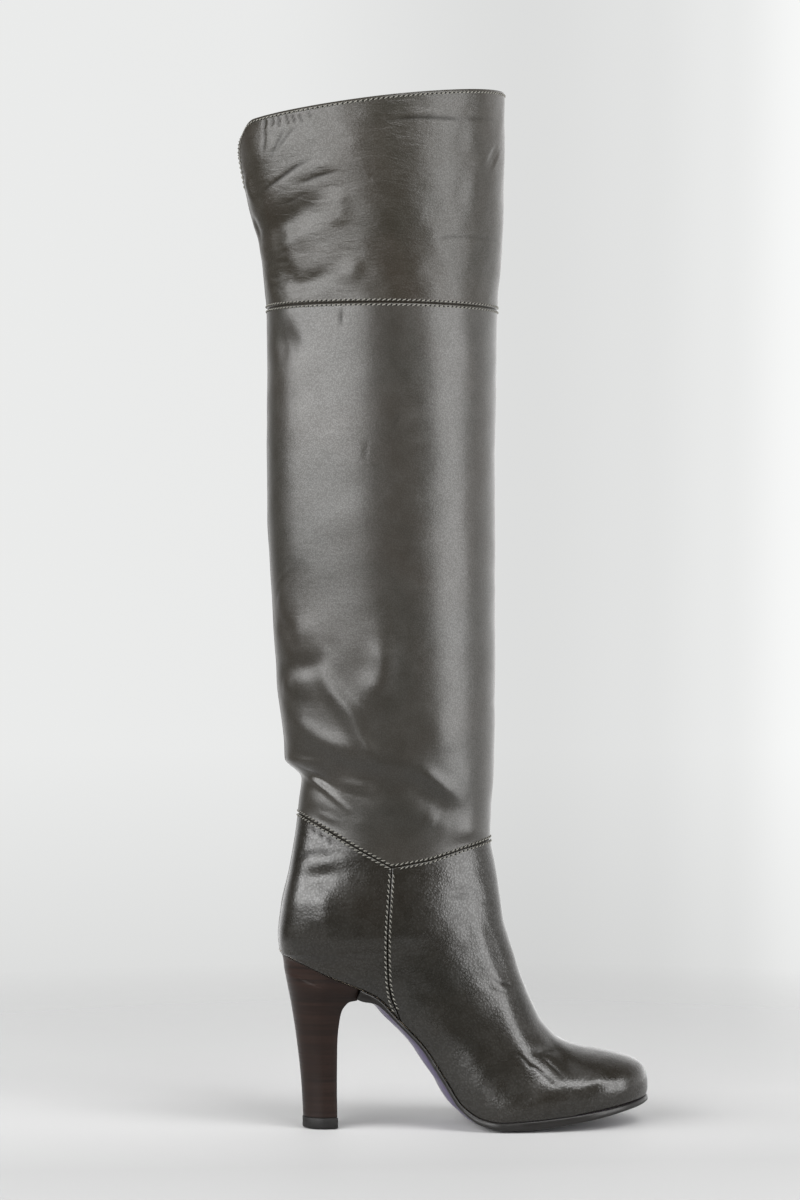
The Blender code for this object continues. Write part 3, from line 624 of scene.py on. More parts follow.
# Folds of the inner side, which the photo does not show: like those of the outer side, placed a little apart.
CUFF_INNER_FOLDS = [
    ("soft", -2.0, 8.0, 0.4, [(-112, 540), (-97, 545), (-82, 553)]),
    ("soft", 0.9, 6.5, 0.4, [(-72, 552), (-70, 540), (-66, 527)]),
    ("crease", -0.5, 1.8, 0.4, [(-108, 562), (-94, 569), (-80, 573)]),
    ("soft", -1.0, 5.0, 0.4, [(-100, 502), (-86, 504), (-70, 511)]),
    ("crease", -0.35, 1.8, 0.35, [(-16, 532), (4, 534), (26, 531)]),
    ("crease", -0.4, 1.8, 0.35, [(-30, 594), (-8, 597), (14, 598)]),
]
SHAFT_INNER_FOLDS = [
    ("soft", -1.4, 6.5, 0.35, [(-100, 286), (-86, 285), (-72, 289)]),
    ("soft", 1.4, 4.5, 0.3, [(-78, 278), (-72, 262), (-62, 250), (-50, 236), (-40, 224)]),
    ("soft", 1.3, 5.5, 0.35, [(-93, 250), (-80, 241), (-66, 235), (-54, 233)]),
    ("soft", -1.7, 6.5, 0.35, [(-94, 228), (-80, 224), (-66, 220), (-52, 216)]),
    ("soft", -0.9, 2.4, 0.4, [(-86, 214), (-74, 207), (-60, 201), (-46, 198)]),
    ("soft", 0.9, 1.9, 0.4, [(-84, 209), (-75, 202), (-66, 195)]),
    ("soft", 1.2, 4.5, 0.35, [(-20, 222), (-8, 212), (4, 203)]),
    ("soft", -1.2, 6.0, 0.4, [(-28, 214), (-12, 203), (4, 194)]),
    ("soft", 0.7, 10.0, 0.4, [(-9, 262), (-5, 244), (0, 228)]),
]
VAMP_INNER_FOLDS = [
    ("crease", -0.3, 1.5, 0.4, [(-2, 141), (12, 141), (28, 137)]),
    ("crease", -0.22, 1.5, 0.4, [(0, 137), (14, 136), (29, 132)]),
    ("soft", -1.1, 5.0, 0.35, [(58, 54), (66, 44), (72, 32)]),
    ("soft", 1.1, 7.0, 0.35, [(36, 68), (43, 52), (52, 36)]),
    ("crease", -0.35, 1.6, 0.3, [(44, 43), (56, 37), (66, 27)]),
    ("crease", -0.3, 1.6, 0.3, [(52, 47), (61, 40), (69, 29)]),
]


def fold_relief(panel, folds, side):
    """Height of the folds at each point of a panel. Sharp creases are also kept as painted crease shade from
    0 to 1, which darkens the leather's colour and sheen.
    """
    points = panel.points.reshape(-1, 3)
    height = np.zeros(len(points))
    crease_shade = np.zeros(len(points))
    for profile, rise, width, taper, places in folds:
        line = cut_corners(on_surface(side, places))
        reach = FOLD_REACH * width
        near = np.all((points > line.min(axis=0) - reach) & (points < line.max(axis=0) + reach), axis=1)
        if not near.any():
            continue
        distance, along = line_distance(points[near], line)
        fade = soft_step(along / taper) * soft_step((1 - along) / taper)
        floor = SOFT_END if profile == "soft" else 0.0
        height[near] += rise * (floor + (1 - floor) * fade) * PROFILES[profile](distance / width)
        # Painted shade: the dark of a sharp crease, kept for the leather's colour and sheen.
        if profile == "crease" and rise < 0:
            dark = np.exp(-((distance / (CREASE_SHADE_WIDTH * width)) ** 2))
            crease_shade[near] = np.maximum(crease_shade[near], min(-rise / CREASE_SHADE_DEPTH, 1.0) * fade * dark)
    panel.crease_shade = np.maximum(panel.crease_shade, crease_shade.reshape(panel.crease_shade.shape))
    return height.reshape(panel.points.shape[:2])


def ripple(points, wavelength, seed, waves=9):
    """Smooth uneven waves of about this length, between about -1 and 1."""
    dice = np.random.default_rng(seed)
    total = np.zeros(points.shape[:-1])
    for _ in range(waves):
        way = dice.normal(size=3)
        way *= 2 * math.pi / (wavelength * dice.uniform(0.7, 1.5) * np.linalg.norm(way))
        total += np.cos(points @ way + dice.uniform(0, 2 * math.pi))
    return total / math.sqrt(waves)


# Depth and radius by which a panel's edge rolls in.
SEAM_EDGE = (1.0, 0.45)
BACK_EDGE = (0.5, 0.8)
COLLAR_EDGE = (0.5, 0.7)
FEATHER_EDGE = (0.35, 0.8)
BACK_STEP = 3  # points of a panel's outer face for each point of its inner face


def rolled_edge(distance, depth, radius):
    """Height of an edge that rolls in, at this distance from it."""
    return -depth * np.exp(-((distance / radius) ** 2))


def thirds(count):
    """The next number of points that BACK_STEP divides evenly."""
    return count + (1 - count) % BACK_STEP


def shell_mesh(name, panel):
    """A closed sheet: the fine outer face, a coarser inner face, and a rim between them."""
    rows, columns = panel.points.shape[:2]
    outer = panel.points.reshape(-1, 3)
    step = BACK_STEP
    inner = (panel.points - panel.normals * WALL)[::step, ::step].reshape(-1, 3)
    grid = np.arange(rows * columns).reshape(rows, columns)
    back_rows = (rows - 1) // step + 1
    back_columns = (columns - 1) // step + 1
    back = rows * columns + np.arange(back_rows * back_columns).reshape(back_rows, back_columns)

    def quads(index):
        corners = [index[:-1, :-1], index[:-1, 1:], index[1:, 1:], index[1:, :-1]]
        return np.stack(corners, axis=-1).reshape(-1, 4)

    faces = quads(grid).tolist() + quads(back)[:, ::-1].tolist()
    inner_faces = slice(len(quads(grid)), len(faces))

    def rim(edge, back_edge, reverse):
        for m in range(len(back_edge) - 1):
            run = list(edge[m * step : m * step + step + 1]) + [back_edge[m + 1], back_edge[m]]
            faces.append([int(k) for k in (run[::-1] if reverse else run)])

    rim(grid[0], back[0], True)
    rim(grid[-1], back[-1], False)
    rim(grid[:, 0], back[:, 0], False)
    rim(grid[:, -1], back[:, -1], True)
    r = rows // 2
    c = columns // 2
    turn = np.cross(panel.points[r, c + 1] - panel.points[r, c], panel.points[r + 1, c] - panel.points[r, c])
    if np.dot(turn, panel.normals[r, c]) < 0:
        faces = [f[::-1] for f in faces]
    mesh = bpy.data.meshes.new(name)
    mesh.from_pydata(metres(np.concatenate([outer, inner])).tolist(), [], faces)
    index = np.zeros(len(faces), np.int32)
    index[inner_faces] = 1
    mesh.polygons.foreach_set("material_index", index)
    # Painted crease shade of the outer face, for the leather's material.
    crease_shade = np.zeros(len(outer) + len(inner), np.float32)
    crease_shade[: len(outer)] = panel.crease_shade.ravel()
    mesh.attributes.new("crease_shade", "FLOAT", "POINT").data.foreach_set("value", crease_shade)
    mesh.shade_smooth()
    mesh.set_sharp_from_angle(angle=math.radians(50))
    mesh.update()
    return mesh


def add_piece(name, mesh, materials, nodes=()):
    """An object that rides on the boot, with its materials, and stands for CAD nodes."""
    for material in materials:
        mesh.materials.append(material)
    piece = bpy.data.objects.new(name, mesh)
    bpy.context.scene.collection.objects.link(piece)
    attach(piece, "root")
    if nodes:
        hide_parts(*nodes)


def edge_line(points, normals, inward, distance):
    """A line this far inside an edge of a panel: edge points, their normals, and a way to the inside."""
    across = unit(np.cross(normals, unit(np.gradient(points, axis=0))))
    sign = np.sign(np.sum(across * inward))
    return points + across * sign * distance


def even_line(line, pitch):
    """Points along a line at an even pitch."""
    along = run_along(line)
    count = max(int(round(along[-1] / pitch)), 1)
    at = np.linspace(0.0, along[-1], count + 1)
    return np.stack([np.interp(at, along, line[:, k]) for k in range(3)], axis=1)


STITCH_PITCH = 3.0
STITCH_SLANT = 0.36  # sideways share of a stitch's length
STITCH_INSET = 0.36  # how far a stitch starts from its hole's middle
STITCH_LIFT = 0.50
STITCH_DIP = 0.14
THREAD_RADIUS = 0.38
THREAD_FLAT = 0.75  # height of the thread's section, as a share of its width
HOLE_HALF_LENGTH = 0.60
HOLE_HALF_WIDTH = 0.55
HOLE_RISE = 0.10
HOLE_DEPTH = 0.20
stitch_ends = []


def settle(panel, points):
    """Moves points onto a panel, and gives the normals there."""
    flat = panel.points.reshape(-1, 3)
    normals = panel.normals.reshape(-1, 3)
    tree = KDTree(len(flat))
    for k, p in enumerate(flat):
        tree.insert(p, k)
    tree.balance()
    index = np.array([tree.find(p)[1] for p in points])
    n = normals[index]
    lift = np.einsum("ij,ij->i", flat[index] - points, n)
    return points + n * lift[:, None], n


def sew(panel, line):
    """Remembers the stitch ends along a line of a panel."""
    places = even_line(line, STITCH_PITCH)
    stitch_ends.append(settle(panel, places))


def thread_mesh():
    """All stitches: short bent threads whose ends dip into the leather."""
    rings = 7
    around = 6
    points = []
    faces = []
    profile = np.linspace(0.0, 1.0, rings)
    lift = STITCH_LIFT * np.sin(math.pi * profile) ** 0.7 - STITCH_DIP
    thick = THREAD_RADIUS * (0.55 + 0.45 * np.sin(math.pi * profile) ** 0.5)
    angles = np.arange(around) * 2 * math.pi / around
    for ends, normals in stitch_ends:
        for a, b, n in zip(ends[:-1], ends[1:], (normals[:-1] + normals[1:]) / 2):
            way = b - a
            length = np.linalg.norm(way)
            if length < 0.5:
                continue
            way = way / length
            n = unit(n)
            across = np.cross(n, way)
            slant = STITCH_SLANT * across * length
            start = a + way * STITCH_INSET - slant * 0.5
            end = b - way * STITCH_INSET + slant * 0.5
            base = len(points)
            for share, height, radius in zip(profile, lift, thick):
                centre = start + (end - start) * share + n * height
                for angle in angles:
                    aside = across * radius * math.cos(angle)
                    points.append(centre + aside + n * radius * THREAD_FLAT * math.sin(angle))
            for r in range(rings - 1):
                for k in range(around):
                    low = base + r * around + k
                    next_low = base + r * around + (k + 1) % around
                    faces.append((low, next_low, next_low + around, low + around))
            faces.append(tuple(base + k for k in reversed(range(around))))
            faces.append(tuple(base + (rings - 1) * around + k for k in range(around)))
    return points, faces


def needle_hole_shade_mesh():
    """The needle holes between stitches: small dark lenses set in the leather, painted shade of the holes."""
    around = 8
    points = []
    faces = []
    angles = np.arange(around) * 2 * math.pi / around
    for ends, normals in stitch_ends:
        ways = unit(np.gradient(ends, axis=0))
        for centre, n, way in zip(ends, normals, ways):
            across = np.cross(n, way)
            base = len(points)
            for angle in angles:
                aside = across * HOLE_HALF_WIDTH * math.sin(angle)
                points.append(centre + way * HOLE_HALF_LENGTH * math.cos(angle) + aside)
            points.append(centre + n * HOLE_RISE)
            points.append(centre - n * HOLE_DEPTH)
            for k in range(around):
                other = base + (k + 1) % around
                faces.append((base + k, other, base + around))
                faces.append((other, base + k, base + around + 1))
    return points, faces


def plain_mesh(name, points, faces, angle=50, weld=False):
    """A mesh from millimetre points, with its faces turned outwards."""
    mesh = bpy.data.meshes.new(name)
    mesh.from_pydata(metres(np.array(points)).tolist(), [], [list(map(int, f)) for f in faces])
    bm = bmesh.new()
    bm.from_mesh(mesh)
    if weld:
        bmesh.ops.remove_doubles(bm, verts=bm.verts, dist=0.00002)
    bmesh.ops.recalc_face_normals(bm, faces=bm.faces)
    bm.to_mesh(mesh)
    bm.free()
    mesh.shade_smooth()
    mesh.set_sharp_from_angle(angle=math.radians(angle))
    return mesh


def sole_frame(x):
    """Points of the sole line at x with the normals to it, in side view."""
    step = 0.05
    rise = (SOLE_Z(x + step) - SOLE_Z(x - step)) / (2 * step)
    length = np.sqrt(1 + rise**2)
    return SOLE_Z(x), -rise / length, 1 / length


def sole_stations():
    """x of the outsole's stations: evenly spaced along the sole, closer round the toe."""
    quarter = np.linspace(0.0, math.pi / 2, 40)
    fine = np.linspace(BREAST_X, TOE_ROUND_X, 1500)
    along = np.append(0.0, np.cumsum(np.hypot(np.diff(fine), np.diff(SOLE_Z(fine)))))
    middle = np.interp(np.linspace(0.0, along[-1], 130), along, fine)
    return np.append(middle, TOE_ROUND_X + (TOE_TIP_X - TOE_ROUND_X) * np.sin(quarter[1:]))


def plan_lines(stations, inset):
    """Outer and inner line of the sole's plan, drawn in by inset."""
    outer, inner, shift = sole_half_widths(stations)
    moved = []
    for sign, y in ((1, shift - outer), (-1, shift + inner)):
        line = np.stack([stations, y], axis=1)
        slope = np.gradient(line, axis=0)
        slope[-1] = (0.0, sign)
        slope = unit(slope)
        moved.append(line + sign * inset * np.stack([-slope[:, 1], slope[:, 0]], axis=1))
    return moved


def on_sole(line, rise):
    """Points over a plan line, at these rises square to the sole line."""
    x = line[:, 0]
    z, lean_x, lean_z = sole_frame(x)
    return np.stack([x + lean_x * rise, line[:, 1], z + lean_z * rise], axis=1)


def outsole_mesh():
    """The outsole, with a rounded bead and bevel round its edge."""
    stations = sole_stations()
    edge = SOLE_EDGE(stations)
    bevel = np.minimum(1.0, edge / 3)
    bottom = -edge - GAP
    profile = [
        (0.9, -0.02),
        (-0.05, -0.02),
        (-0.45, -GAP - 0.05),
        (-SOLE_REACH, -GAP - 0.60),
        (-SOLE_REACH - 0.06, (bottom - GAP) / 2),
        (-SOLE_REACH, bottom + bevel * 1.15),
        (-SOLE_REACH + 0.25, bottom + bevel * 0.45),
        (-SOLE_REACH + 0.70, bottom + bevel * 0.10),
        (-SOLE_REACH + 1.25, bottom),
    ]
    outer = []
    inner = []
    for inset, rise in profile:
        lines = plan_lines(stations, inset)
        outer.append(on_sole(lines[0], np.broadcast_to(rise, stations.shape)))
        inner.append(on_sole(lines[1], np.broadcast_to(rise, stations.shape)))
    lines = plan_lines(stations, profile[-1][0])
    middle = []
    shares = np.linspace(0.0, 1.0, 27)[1:-1]
    for share in shares:
        bulge = 1 - abs(2 * share - 1) ** 4
        line = lines[0] + (lines[1] - lines[0]) * share
        z, _, lean_z = sole_frame(line[:, 0])
        tread = (SOLE_TREAD(line[:, 0]) - z) / lean_z
        middle.append(on_sole(line, bottom + (tread - bottom) * bulge))
    loop = np.stack(outer + middle + inner[::-1], axis=1)
    count, around = loop.shape[:2]
    index = np.arange(count * around).reshape(count, around)
    ahead = np.roll(index, -1, axis=1)
    faces = np.stack([index[:-1], ahead[:-1], ahead[1:], index[1:]], axis=-1).reshape(-1, 4).tolist()
    faces.append(index[0].tolist())
    return plain_mesh("outsole_leather", loop.reshape(-1, 3), faces, angle=60, weld=True)


BLACK_EDGE = 0.9  # width of the sole's black edge
BLACK_END_X = -44.0  # behind this the sole is black
BLACK_FADE = 5.0
WORN_X = 6.0  # from here on the tread is worn
WORN_FADE = 16.0
WORN_Z = 16.0  # no wear over this height
WORN_Z_FADE = 14.0


def sole_tones(mesh):
    """Marks which of the sole's points are on its edge, and how worn each is."""
    co = np.zeros(len(mesh.vertices) * 3)
    mesh.vertices.foreach_get("co", co)
    co = co.reshape(-1, 3) / MM + (CENTRE_X, 0.0, 0.0)
    stations = np.linspace(BREAST_X, TOE_TIP_X, 700)
    outer, inner, shift = sole_half_widths(stations)
    sides = np.concatenate([shift - outer - SOLE_REACH, shift + inner + SOLE_REACH])
    tree = KDTree(len(sides))
    for k, y in enumerate(sides):
        tree.insert((stations[k % len(stations)], y, 0.0), k)
    tree.balance()
    from_rim = np.array([tree.find((p[0], p[1], 0.0))[2] for p in co])
    rim = 1 - soft_step((from_rim - BLACK_EDGE) / BLACK_EDGE)
    edge = np.maximum(rim, soft_step((BLACK_END_X - co[:, 0]) / BLACK_FADE))
    worn = soft_step((co[:, 0] - WORN_X) / WORN_FADE) * soft_step((WORN_Z - co[:, 2]) / WORN_Z_FADE)
    for name, values in (("edge", edge), ("worn", worn)):
        mesh.attributes.new(name, "FLOAT", "POINT").data.foreach_set("value", values.astype(np.float32))


def heel_outline(seat_share):
    """Half of the heel's D plan, from its back to the middle of its breast, as (depth, width) shares."""
    power = 2 / HEEL_ROUND
    width = np.interp(seat_share, (0, 1), HEEL_BREAST)
    hollow = HEEL_HOLLOW * (1 - seat_share)
    a = np.linspace(0.0, math.pi / 2, 22)
    back = np.stack([HEEL_D_ROUND * (1 - np.cos(a) ** power), np.sin(a) ** power], axis=1)
    side = np.array([HEEL_SIDE, (HEEL_CORNER, (1 + width) / 2), (1.0, width)])
    shares = np.array([2 / 3, 1 / 3, 0.0])
    breast = np.stack([1.0 - hollow * (1 - shares**2), width * shares], axis=1)
    front = cut_corners(np.vstack([back[-2:], side, breast]), 2)
    return np.vstack([back[:-2], front])


def heel_ring(row, seat_share):
    """One D section of the heel as a closed loop, bent to the heel seat by seat_share."""
    back_x, back_z, front_x, front_z, half = row
    half_line = heel_outline(seat_share)
    both = np.vstack([half_line * (1, -1), half_line[-2:0:-1]])
    x = back_x + (front_x - back_x) * both[:, 0]
    flat_z = back_z + (front_z - back_z) * both[:, 0]
    seat_z = SOLE_Z(x) - GAP
    return np.stack([x, half * both[:, 1], flat_z + (seat_z - flat_z) * seat_share], axis=1)


def loft(rings):
    """Points and faces of a closed solid through loops of points."""
    count = len(rings[0])
    points = np.concatenate(rings)
    faces = []
    for r in range(len(rings) - 1):
        for k in range(count):
            low = r * count + k
            other = r * count + (k + 1) % count
            faces.append((low, other, other + count, low + count))
    for base in (0, (len(rings) - 1) * count):
        half = count // 2
        for k in range(half):
            a = base + k
            b = base + k + 1
            c = base + (count - k - 1) % count
            d = base + (count - k) % count
            faces.append(tuple(dict.fromkeys((a, b, c, d))))
    return points, [f for f in faces if len(f) > 2]


def drawn_in(ring, distance):
    """A loop made smaller by this distance, in plan."""
    way = np.roll(ring, -1, axis=0) - np.roll(ring, 1, axis=0)
    way = unit(way[:, :2])
    inward = np.stack([-way[:, 1], way[:, 0]], axis=1)
    middle = ring[:, :2].mean(axis=0)
    sign = np.sign(np.sum(inward * (middle - ring[:, :2])))
    moved = ring.copy()
    moved[:, :2] += inward * sign * distance
    return moved


def heel_mesh():
    """The heel block, from the top lift to the seat under the foot's heel."""
    curves = [smooth_curve(np.arange(len(HEEL_ROWS)), HEEL_ROWS[:, k]) for k in range(5)]
    last = len(HEEL_ROWS) - 1
    rings = []
    for level in np.linspace(0.0, last, 85):
        row = [float(c(level)) for c in curves]
        rings.append(heel_ring(row, max(level - last + 1, 0.0)))
    return plain_mesh("stacked_heel", *loft(rings), angle=45)


# How far the top lift is drawn in at each height, from the floor up.
LIFT_PROFILE = ((0.8, 0.0), (0.25, 0.15), (0.0, 0.6), (0.0, 3.0), (0.0, 5.9), (0.2, 6.35), (0.6, LIFT_THICK))


def lift_mesh():
    """The top lift, with rounded edges."""
    foot = HEEL_ROWS[0]
    wide = (foot[0] - LIFT_REACH, 0.0, foot[2] + LIFT_REACH, 0.0, foot[4] + LIFT_REACH)
    flat = heel_ring(wide, 0.0)
    rings = []
    for inset, z in LIFT_PROFILE:
        ring = drawn_in(flat, inset)
        ring[:, 2] = z
        rings.append(ring)
    return plain_mesh("rubber_top_lift", *loft(rings), angle=45)


COAT_ROUGHNESS = 0.2
# Colour of the painted shade in sharp creases.
CREASE_SHADE_COLOUR = (0.004, 0.0037, 0.003)


def new_material(name, colour, roughness, coat=0.0, specular=0.5):
    """A material, its node tree and its shader."""
    material = bpy.data.materials.new(name)
    material.use_nodes = True
    tree = material.node_tree
    shader = tree.nodes["Principled BSDF"]
    settings = {
        "Base Color": (*colour, 1.0),
        "Roughness": roughness,
        "Coat Weight": coat,
        "Coat Roughness": COAT_ROUGHNESS,
        "Specular IOR Level": specular,
    }
    for socket, value in settings.items():
        shader.inputs[socket].default_value = value
    return material, tree, shader


def add_node(tree, kind, **settings):
    """A node with these settings: a socket is linked, another value goes to an input or a property."""
    node = tree.nodes.new("ShaderNode" + kind)
    for name, value in settings.items():
        if isinstance(value, bpy.types.NodeSocket):
            tree.links.new(value, node.inputs[name])
        elif name in node.inputs:
            node.inputs[name].default_value = value
        else:
            setattr(node, name, value)
    return node


def feed(node, name, socket):
    """Links a socket to a node's input."""
    node.id_data.links.new(socket, node.inputs[name])


def noise(tree, where, scale, detail=3.0, rough=0.5, warp=0.0):
    """Noise from 0 to 1 at these places."""
    settings = {"Vector": where, "Scale": scale, "Detail": detail, "Roughness": rough, "Distortion": warp}
    return add_node(tree, "TexNoise", **settings).outputs["Fac"]


def spread(tree, value, low, high, out_low, out_high):
    """A value between low and high, spread over another range."""
    settings = {"Value": value, "From Min": low, "From Max": high, "To Min": out_low, "To Max": out_high}
    return add_node(tree, "MapRange", **settings).outputs["Result"]


def combine(tree, operation, first, second):
    """Two sockets joined by a Math node."""
    node = add_node(tree, "Math", operation=operation)
    tree.links.new(first, node.inputs[0])
    tree.links.new(second, node.inputs[1])
    return node.outputs["Value"]


def blend_colours(tree, factor, first, second):
    """A mix of two colours, each a socket or a colour."""
    node = add_node(tree, "Mix", data_type="RGBA", Factor=factor)
    for socket, colour in ((node.inputs[6], first), (node.inputs[7], second)):
        if isinstance(colour, tuple):
            socket.default_value = (*colour, 1.0)
        else:
            tree.links.new(colour, socket)
    return node.outputs[2]


def mix_shaders(tree, factor, first, second):
    """A mix of two shader sockets."""
    node = add_node(tree, "MixShader", Fac=factor)
    tree.links.new(first, node.inputs[1])
    tree.links.new(second, node.inputs[2])
    return node.outputs["Shader"]


def bump_chain(tree, shader, *layers):
    """Bumps on top of each other: (height socket, strength, distance in metres)."""
    normal = None
    for height, strength, distance in layers:
        node = add_node(tree, "Bump", Height=height, Strength=strength, Distance=distance)
        if normal is not None:
            feed(node, "Normal", normal)
        normal = node.outputs["Normal"]
    feed(shader, "Normal", normal)


def object_place(tree, scale=None):
    """Places in the object, stretched by scale."""
    place = add_node(tree, "TexCoord").outputs["Object"]
    if scale is None:
        return place
    return add_node(tree, "Mapping", Vector=place, Scale=scale).outputs["Vector"]


def attribute(tree, name):
    """A value that the mesh keeps at its points."""
    return add_node(tree, "Attribute", attribute_name=name).outputs["Fac"]


def leather_material(name, pebble, grain, tones, gloss, specular=0.5, wrinkle=0.15):
    """Olive leather: height and fineness of its grain, its three colours and its range of roughness."""
    material, tree, shader = new_material(name, tones[0], gloss[0], coat=0.08, specular=specular)
    place = object_place(tree)
    broad = noise(tree, place, 14.0, 4.0, 0.55, 0.6)
    fine = noise(tree, place, 90.0, 5.0, 0.6, 0.3)
    # Painted shade: sharp creases darken the leather's colour.
    crease_shade = attribute(tree, "crease_shade")
    base = blend_colours(tree, spread(tree, broad, 0.35, 0.70, 0.0, 1.0), tones[0], tones[1])
    worn = blend_colours(tree, spread(tree, fine, 0.45, 0.75, 0.0, 0.35), base, tones[2])
    crease_shaded = blend_colours(tree, spread(tree, crease_shade, 0.0, 1.0, 0.0, 0.7), worn, CREASE_SHADE_COLOUR)
    feed(shader, "Base Color", crease_shaded)
    feed(shader, "Roughness", spread(tree, fine, 0.3, 0.75, *gloss))
    cells = add_node(tree, "TexVoronoi", feature="SMOOTH_F1", Vector=place, Scale=grain, Smoothness=0.4)
    domes = spread(tree, cells.outputs["Distance"], 0.0, 0.7, 1.0, 0.0)
    shine = spread(tree, domes, 0.1, 0.75, 0.8 * specular, 1.3 * specular)
    # Painted shade: less sheen in sharp creases.
    crease_dimming = spread(tree, crease_shade, 0.0, 1.0, 1.0, 0.15)
    feed(shader, "Specular IOR Level", combine(tree, "MULTIPLY", shine, crease_dimming))
    soft = noise(tree, place, 120.0, 3.0, 0.5, 0.3)
    lines = noise(tree, object_place(tree, (75.0, 75.0, 260.0)), 1.0, 4.0, 0.55, 0.8)
    bump_chain(tree, shader, (soft, 0.15, 0.0006), (lines, wrinkle, 0.0005), (domes, 1.0, 0.00004 * pebble))
    return material


def lining_material():
    """Matt sand-coloured leather."""
    material, tree, shader = new_material("lining_leather", (0.32, 0.26, 0.19), 0.62)
    place = object_place(tree)
    patch = noise(tree, place, 60.0, 4.0)
    feed(shader, "Base Color", blend_colours(tree, patch, (0.28, 0.225, 0.165), (0.36, 0.295, 0.215)))
    bump_chain(tree, shader, (noise(tree, place, 900.0, 3.0), 0.4, 0.00015))
    return material


def thread_material():
    """Twisted grey thread."""
    material, tree, shader = new_material("thread", (0.17, 0.165, 0.145), 0.55)
    twist = noise(tree, object_place(tree), 2200.0, 2.0)
    feed(shader, "Base Color", blend_colours(tree, twist, (0.085, 0.081, 0.068), (0.16, 0.154, 0.134)))
    bump_chain(tree, shader, (twist, 0.5, 0.0001))
    return material


def needle_hole_shade_material():
    """Painted shade of a needle hole, varied a little by noise."""
    material, tree, shader = new_material("needle_hole_shade", (0.008, 0.008, 0.007), 0.8, specular=0.1)
    dust = noise(tree, object_place(tree), 1500.0, 2.0)
    feed(shader, "Base Color", blend_colours(tree, dust, (0.006, 0.006, 0.005), (0.012, 0.012, 0.010)))
    return material


def sole_material():
    """Plum sole leather with a black edge, scuffed grey where it meets the floor."""
    material, tree, shader = new_material("plum_sole_leather", (0.05, 0.04, 0.08), 0.34, 0.1, 0.3)
    place = object_place(tree)
    scuff = noise(tree, object_place(tree, (60.0, 240.0, 60.0)), 1.6, 6.0, 0.65, 0.5)
    plum = blend_colours(tree, noise(tree, place, 40.0, 4.0), (0.060, 0.048, 0.095), (0.085, 0.070, 0.125))
    grey = blend_colours(tree, scuff, (0.10, 0.095, 0.10), (0.30, 0.29, 0.28))
    streaks = spread(tree, scuff, 0.35, 0.65, 0.15, 0.9)
    under = blend_colours(tree, combine(tree, "MULTIPLY", attribute(tree, "worn"), streaks), plum, grey)
    rubbed = spread(tree, scuff, 0.60, 0.75, 0.0, 0.5)
    black = blend_colours(tree, rubbed, (0.008, 0.0072, 0.0065), (0.07, 0.066, 0.06))
    feed(shader, "Base Color", blend_colours(tree, attribute(tree, "edge"), under, black))
    feed(shader, "Roughness", spread(tree, scuff, 0.3, 0.75, 0.28, 0.5))
    bump_chain(tree, shader, (noise(tree, place, 700.0, 4.0), 0.3, 0.0002), (scuff, 0.2, 0.0002))
    return material


def heel_material():
    """Dark brown stacked leather or wood: thin layers with fine streaks, polished."""
    material, tree, shader = new_material("stacked_wood", (0.01, 0.005, 0.004), 0.36, 0.03, 0.2)
    layers = noise(tree, object_place(tree, (8.0, 8.0, 420.0)), 1.0, 2.0, 0.5)
    streaks = noise(tree, object_place(tree, (40.0, 40.0, 1500.0)), 1.0, 3.0, 0.6)
    patch = spread(tree, noise(tree, object_place(tree), 30.0, 3.0), 0.4, 0.7, 0.0, 0.5)
    layer = spread(tree, layers, 0.35, 0.65, 0.0, 1.0)
    wood = blend_colours(tree, layer, (0.0065, 0.0033, 0.0022), (0.014, 0.0066, 0.0044))
    streaked = blend_colours(tree, spread(tree, streaks, 0.5, 0.7, 0.0, 0.5), wood, (0.020, 0.010, 0.0072))
    feed(shader, "Base Color", blend_colours(tree, patch, streaked, (0.006, 0.0035, 0.0028)))
    feed(shader, "Roughness", spread(tree, streaks, 0.3, 0.7, 0.30, 0.46))
    bump_chain(tree, shader, (layers, 0.25, 0.0002), (streaks, 0.2, 0.0001))
    return material


def rubber_material():
    """Matt black rubber with a little dust."""
    material, tree, shader = new_material("black_rubber", (0.008, 0.008, 0.008), 0.6, specular=0.2)
    place = object_place(tree)
    dust = noise(tree, place, 300.0, 4.0)
    feed(shader, "Base Color", blend_colours(tree, dust, (0.0055, 0.0050, 0.0048), (0.012, 0.0112, 0.0108)))
    feed(shader, "Roughness", spread(tree, dust, 0.3, 0.7, 0.45, 0.65))
    bump_chain(tree, shader, (noise(tree, place, 1200.0, 2.0), 0.3, 0.0002))
    return material


def calm(distance, width):
    """Factor that lets folds die out within this width of an edge."""
    return soft_step(distance / width)


def add_panel(name, panel, leather, lining, node):
    """A panel as a piece, with leather outside and lining inside."""
    add_piece(name, shell_mesh(name, panel), [leather, lining], [node])


def add_cuff(lining):
    """The cuff, open in a slit at its back, in softer leather with fine wrinkles."""
    leather = leather_material(
        "olive_leather_cuff", 0.9, 1100.0,
        ((0.0155, 0.0138, 0.0100), (0.0190, 0.0151, 0.0109), (0.026, 0.023, 0.0175)),
        (0.31, 0.40), 0.38, 0.6,
    )
    cuff = Panel(both_sides(thirds(190), whole(0.0), whole(0.0)), cuff_span, thirds(136))
    relief = fold_relief(cuff, CUFF_FOLDS, OUTER) + fold_relief(cuff, CUFF_INNER_FOLDS, INNER)
    relief += 0.22 * ripple(cuff.points, 42.0, 3) + 0.10 * ripple(cuff.points, 17.0, 4)
    relief *= calm(cuff.from_bottom, 9.0) * (0.25 + 0.75 * calm(cuff.from_top, 4.5))
    relief += rolled_edge(cuff.from_top, *COLLAR_EDGE) + rolled_edge(cuff.from_bottom, *SEAM_EDGE)
    relief += rolled_edge(cuff.from_first, *BACK_EDGE) + rolled_edge(cuff.from_last, *BACK_EDGE)
    cuff.raise_by(relief)
    add_panel("cuff_leather", cuff, leather, lining, "cuff")
    return cuff


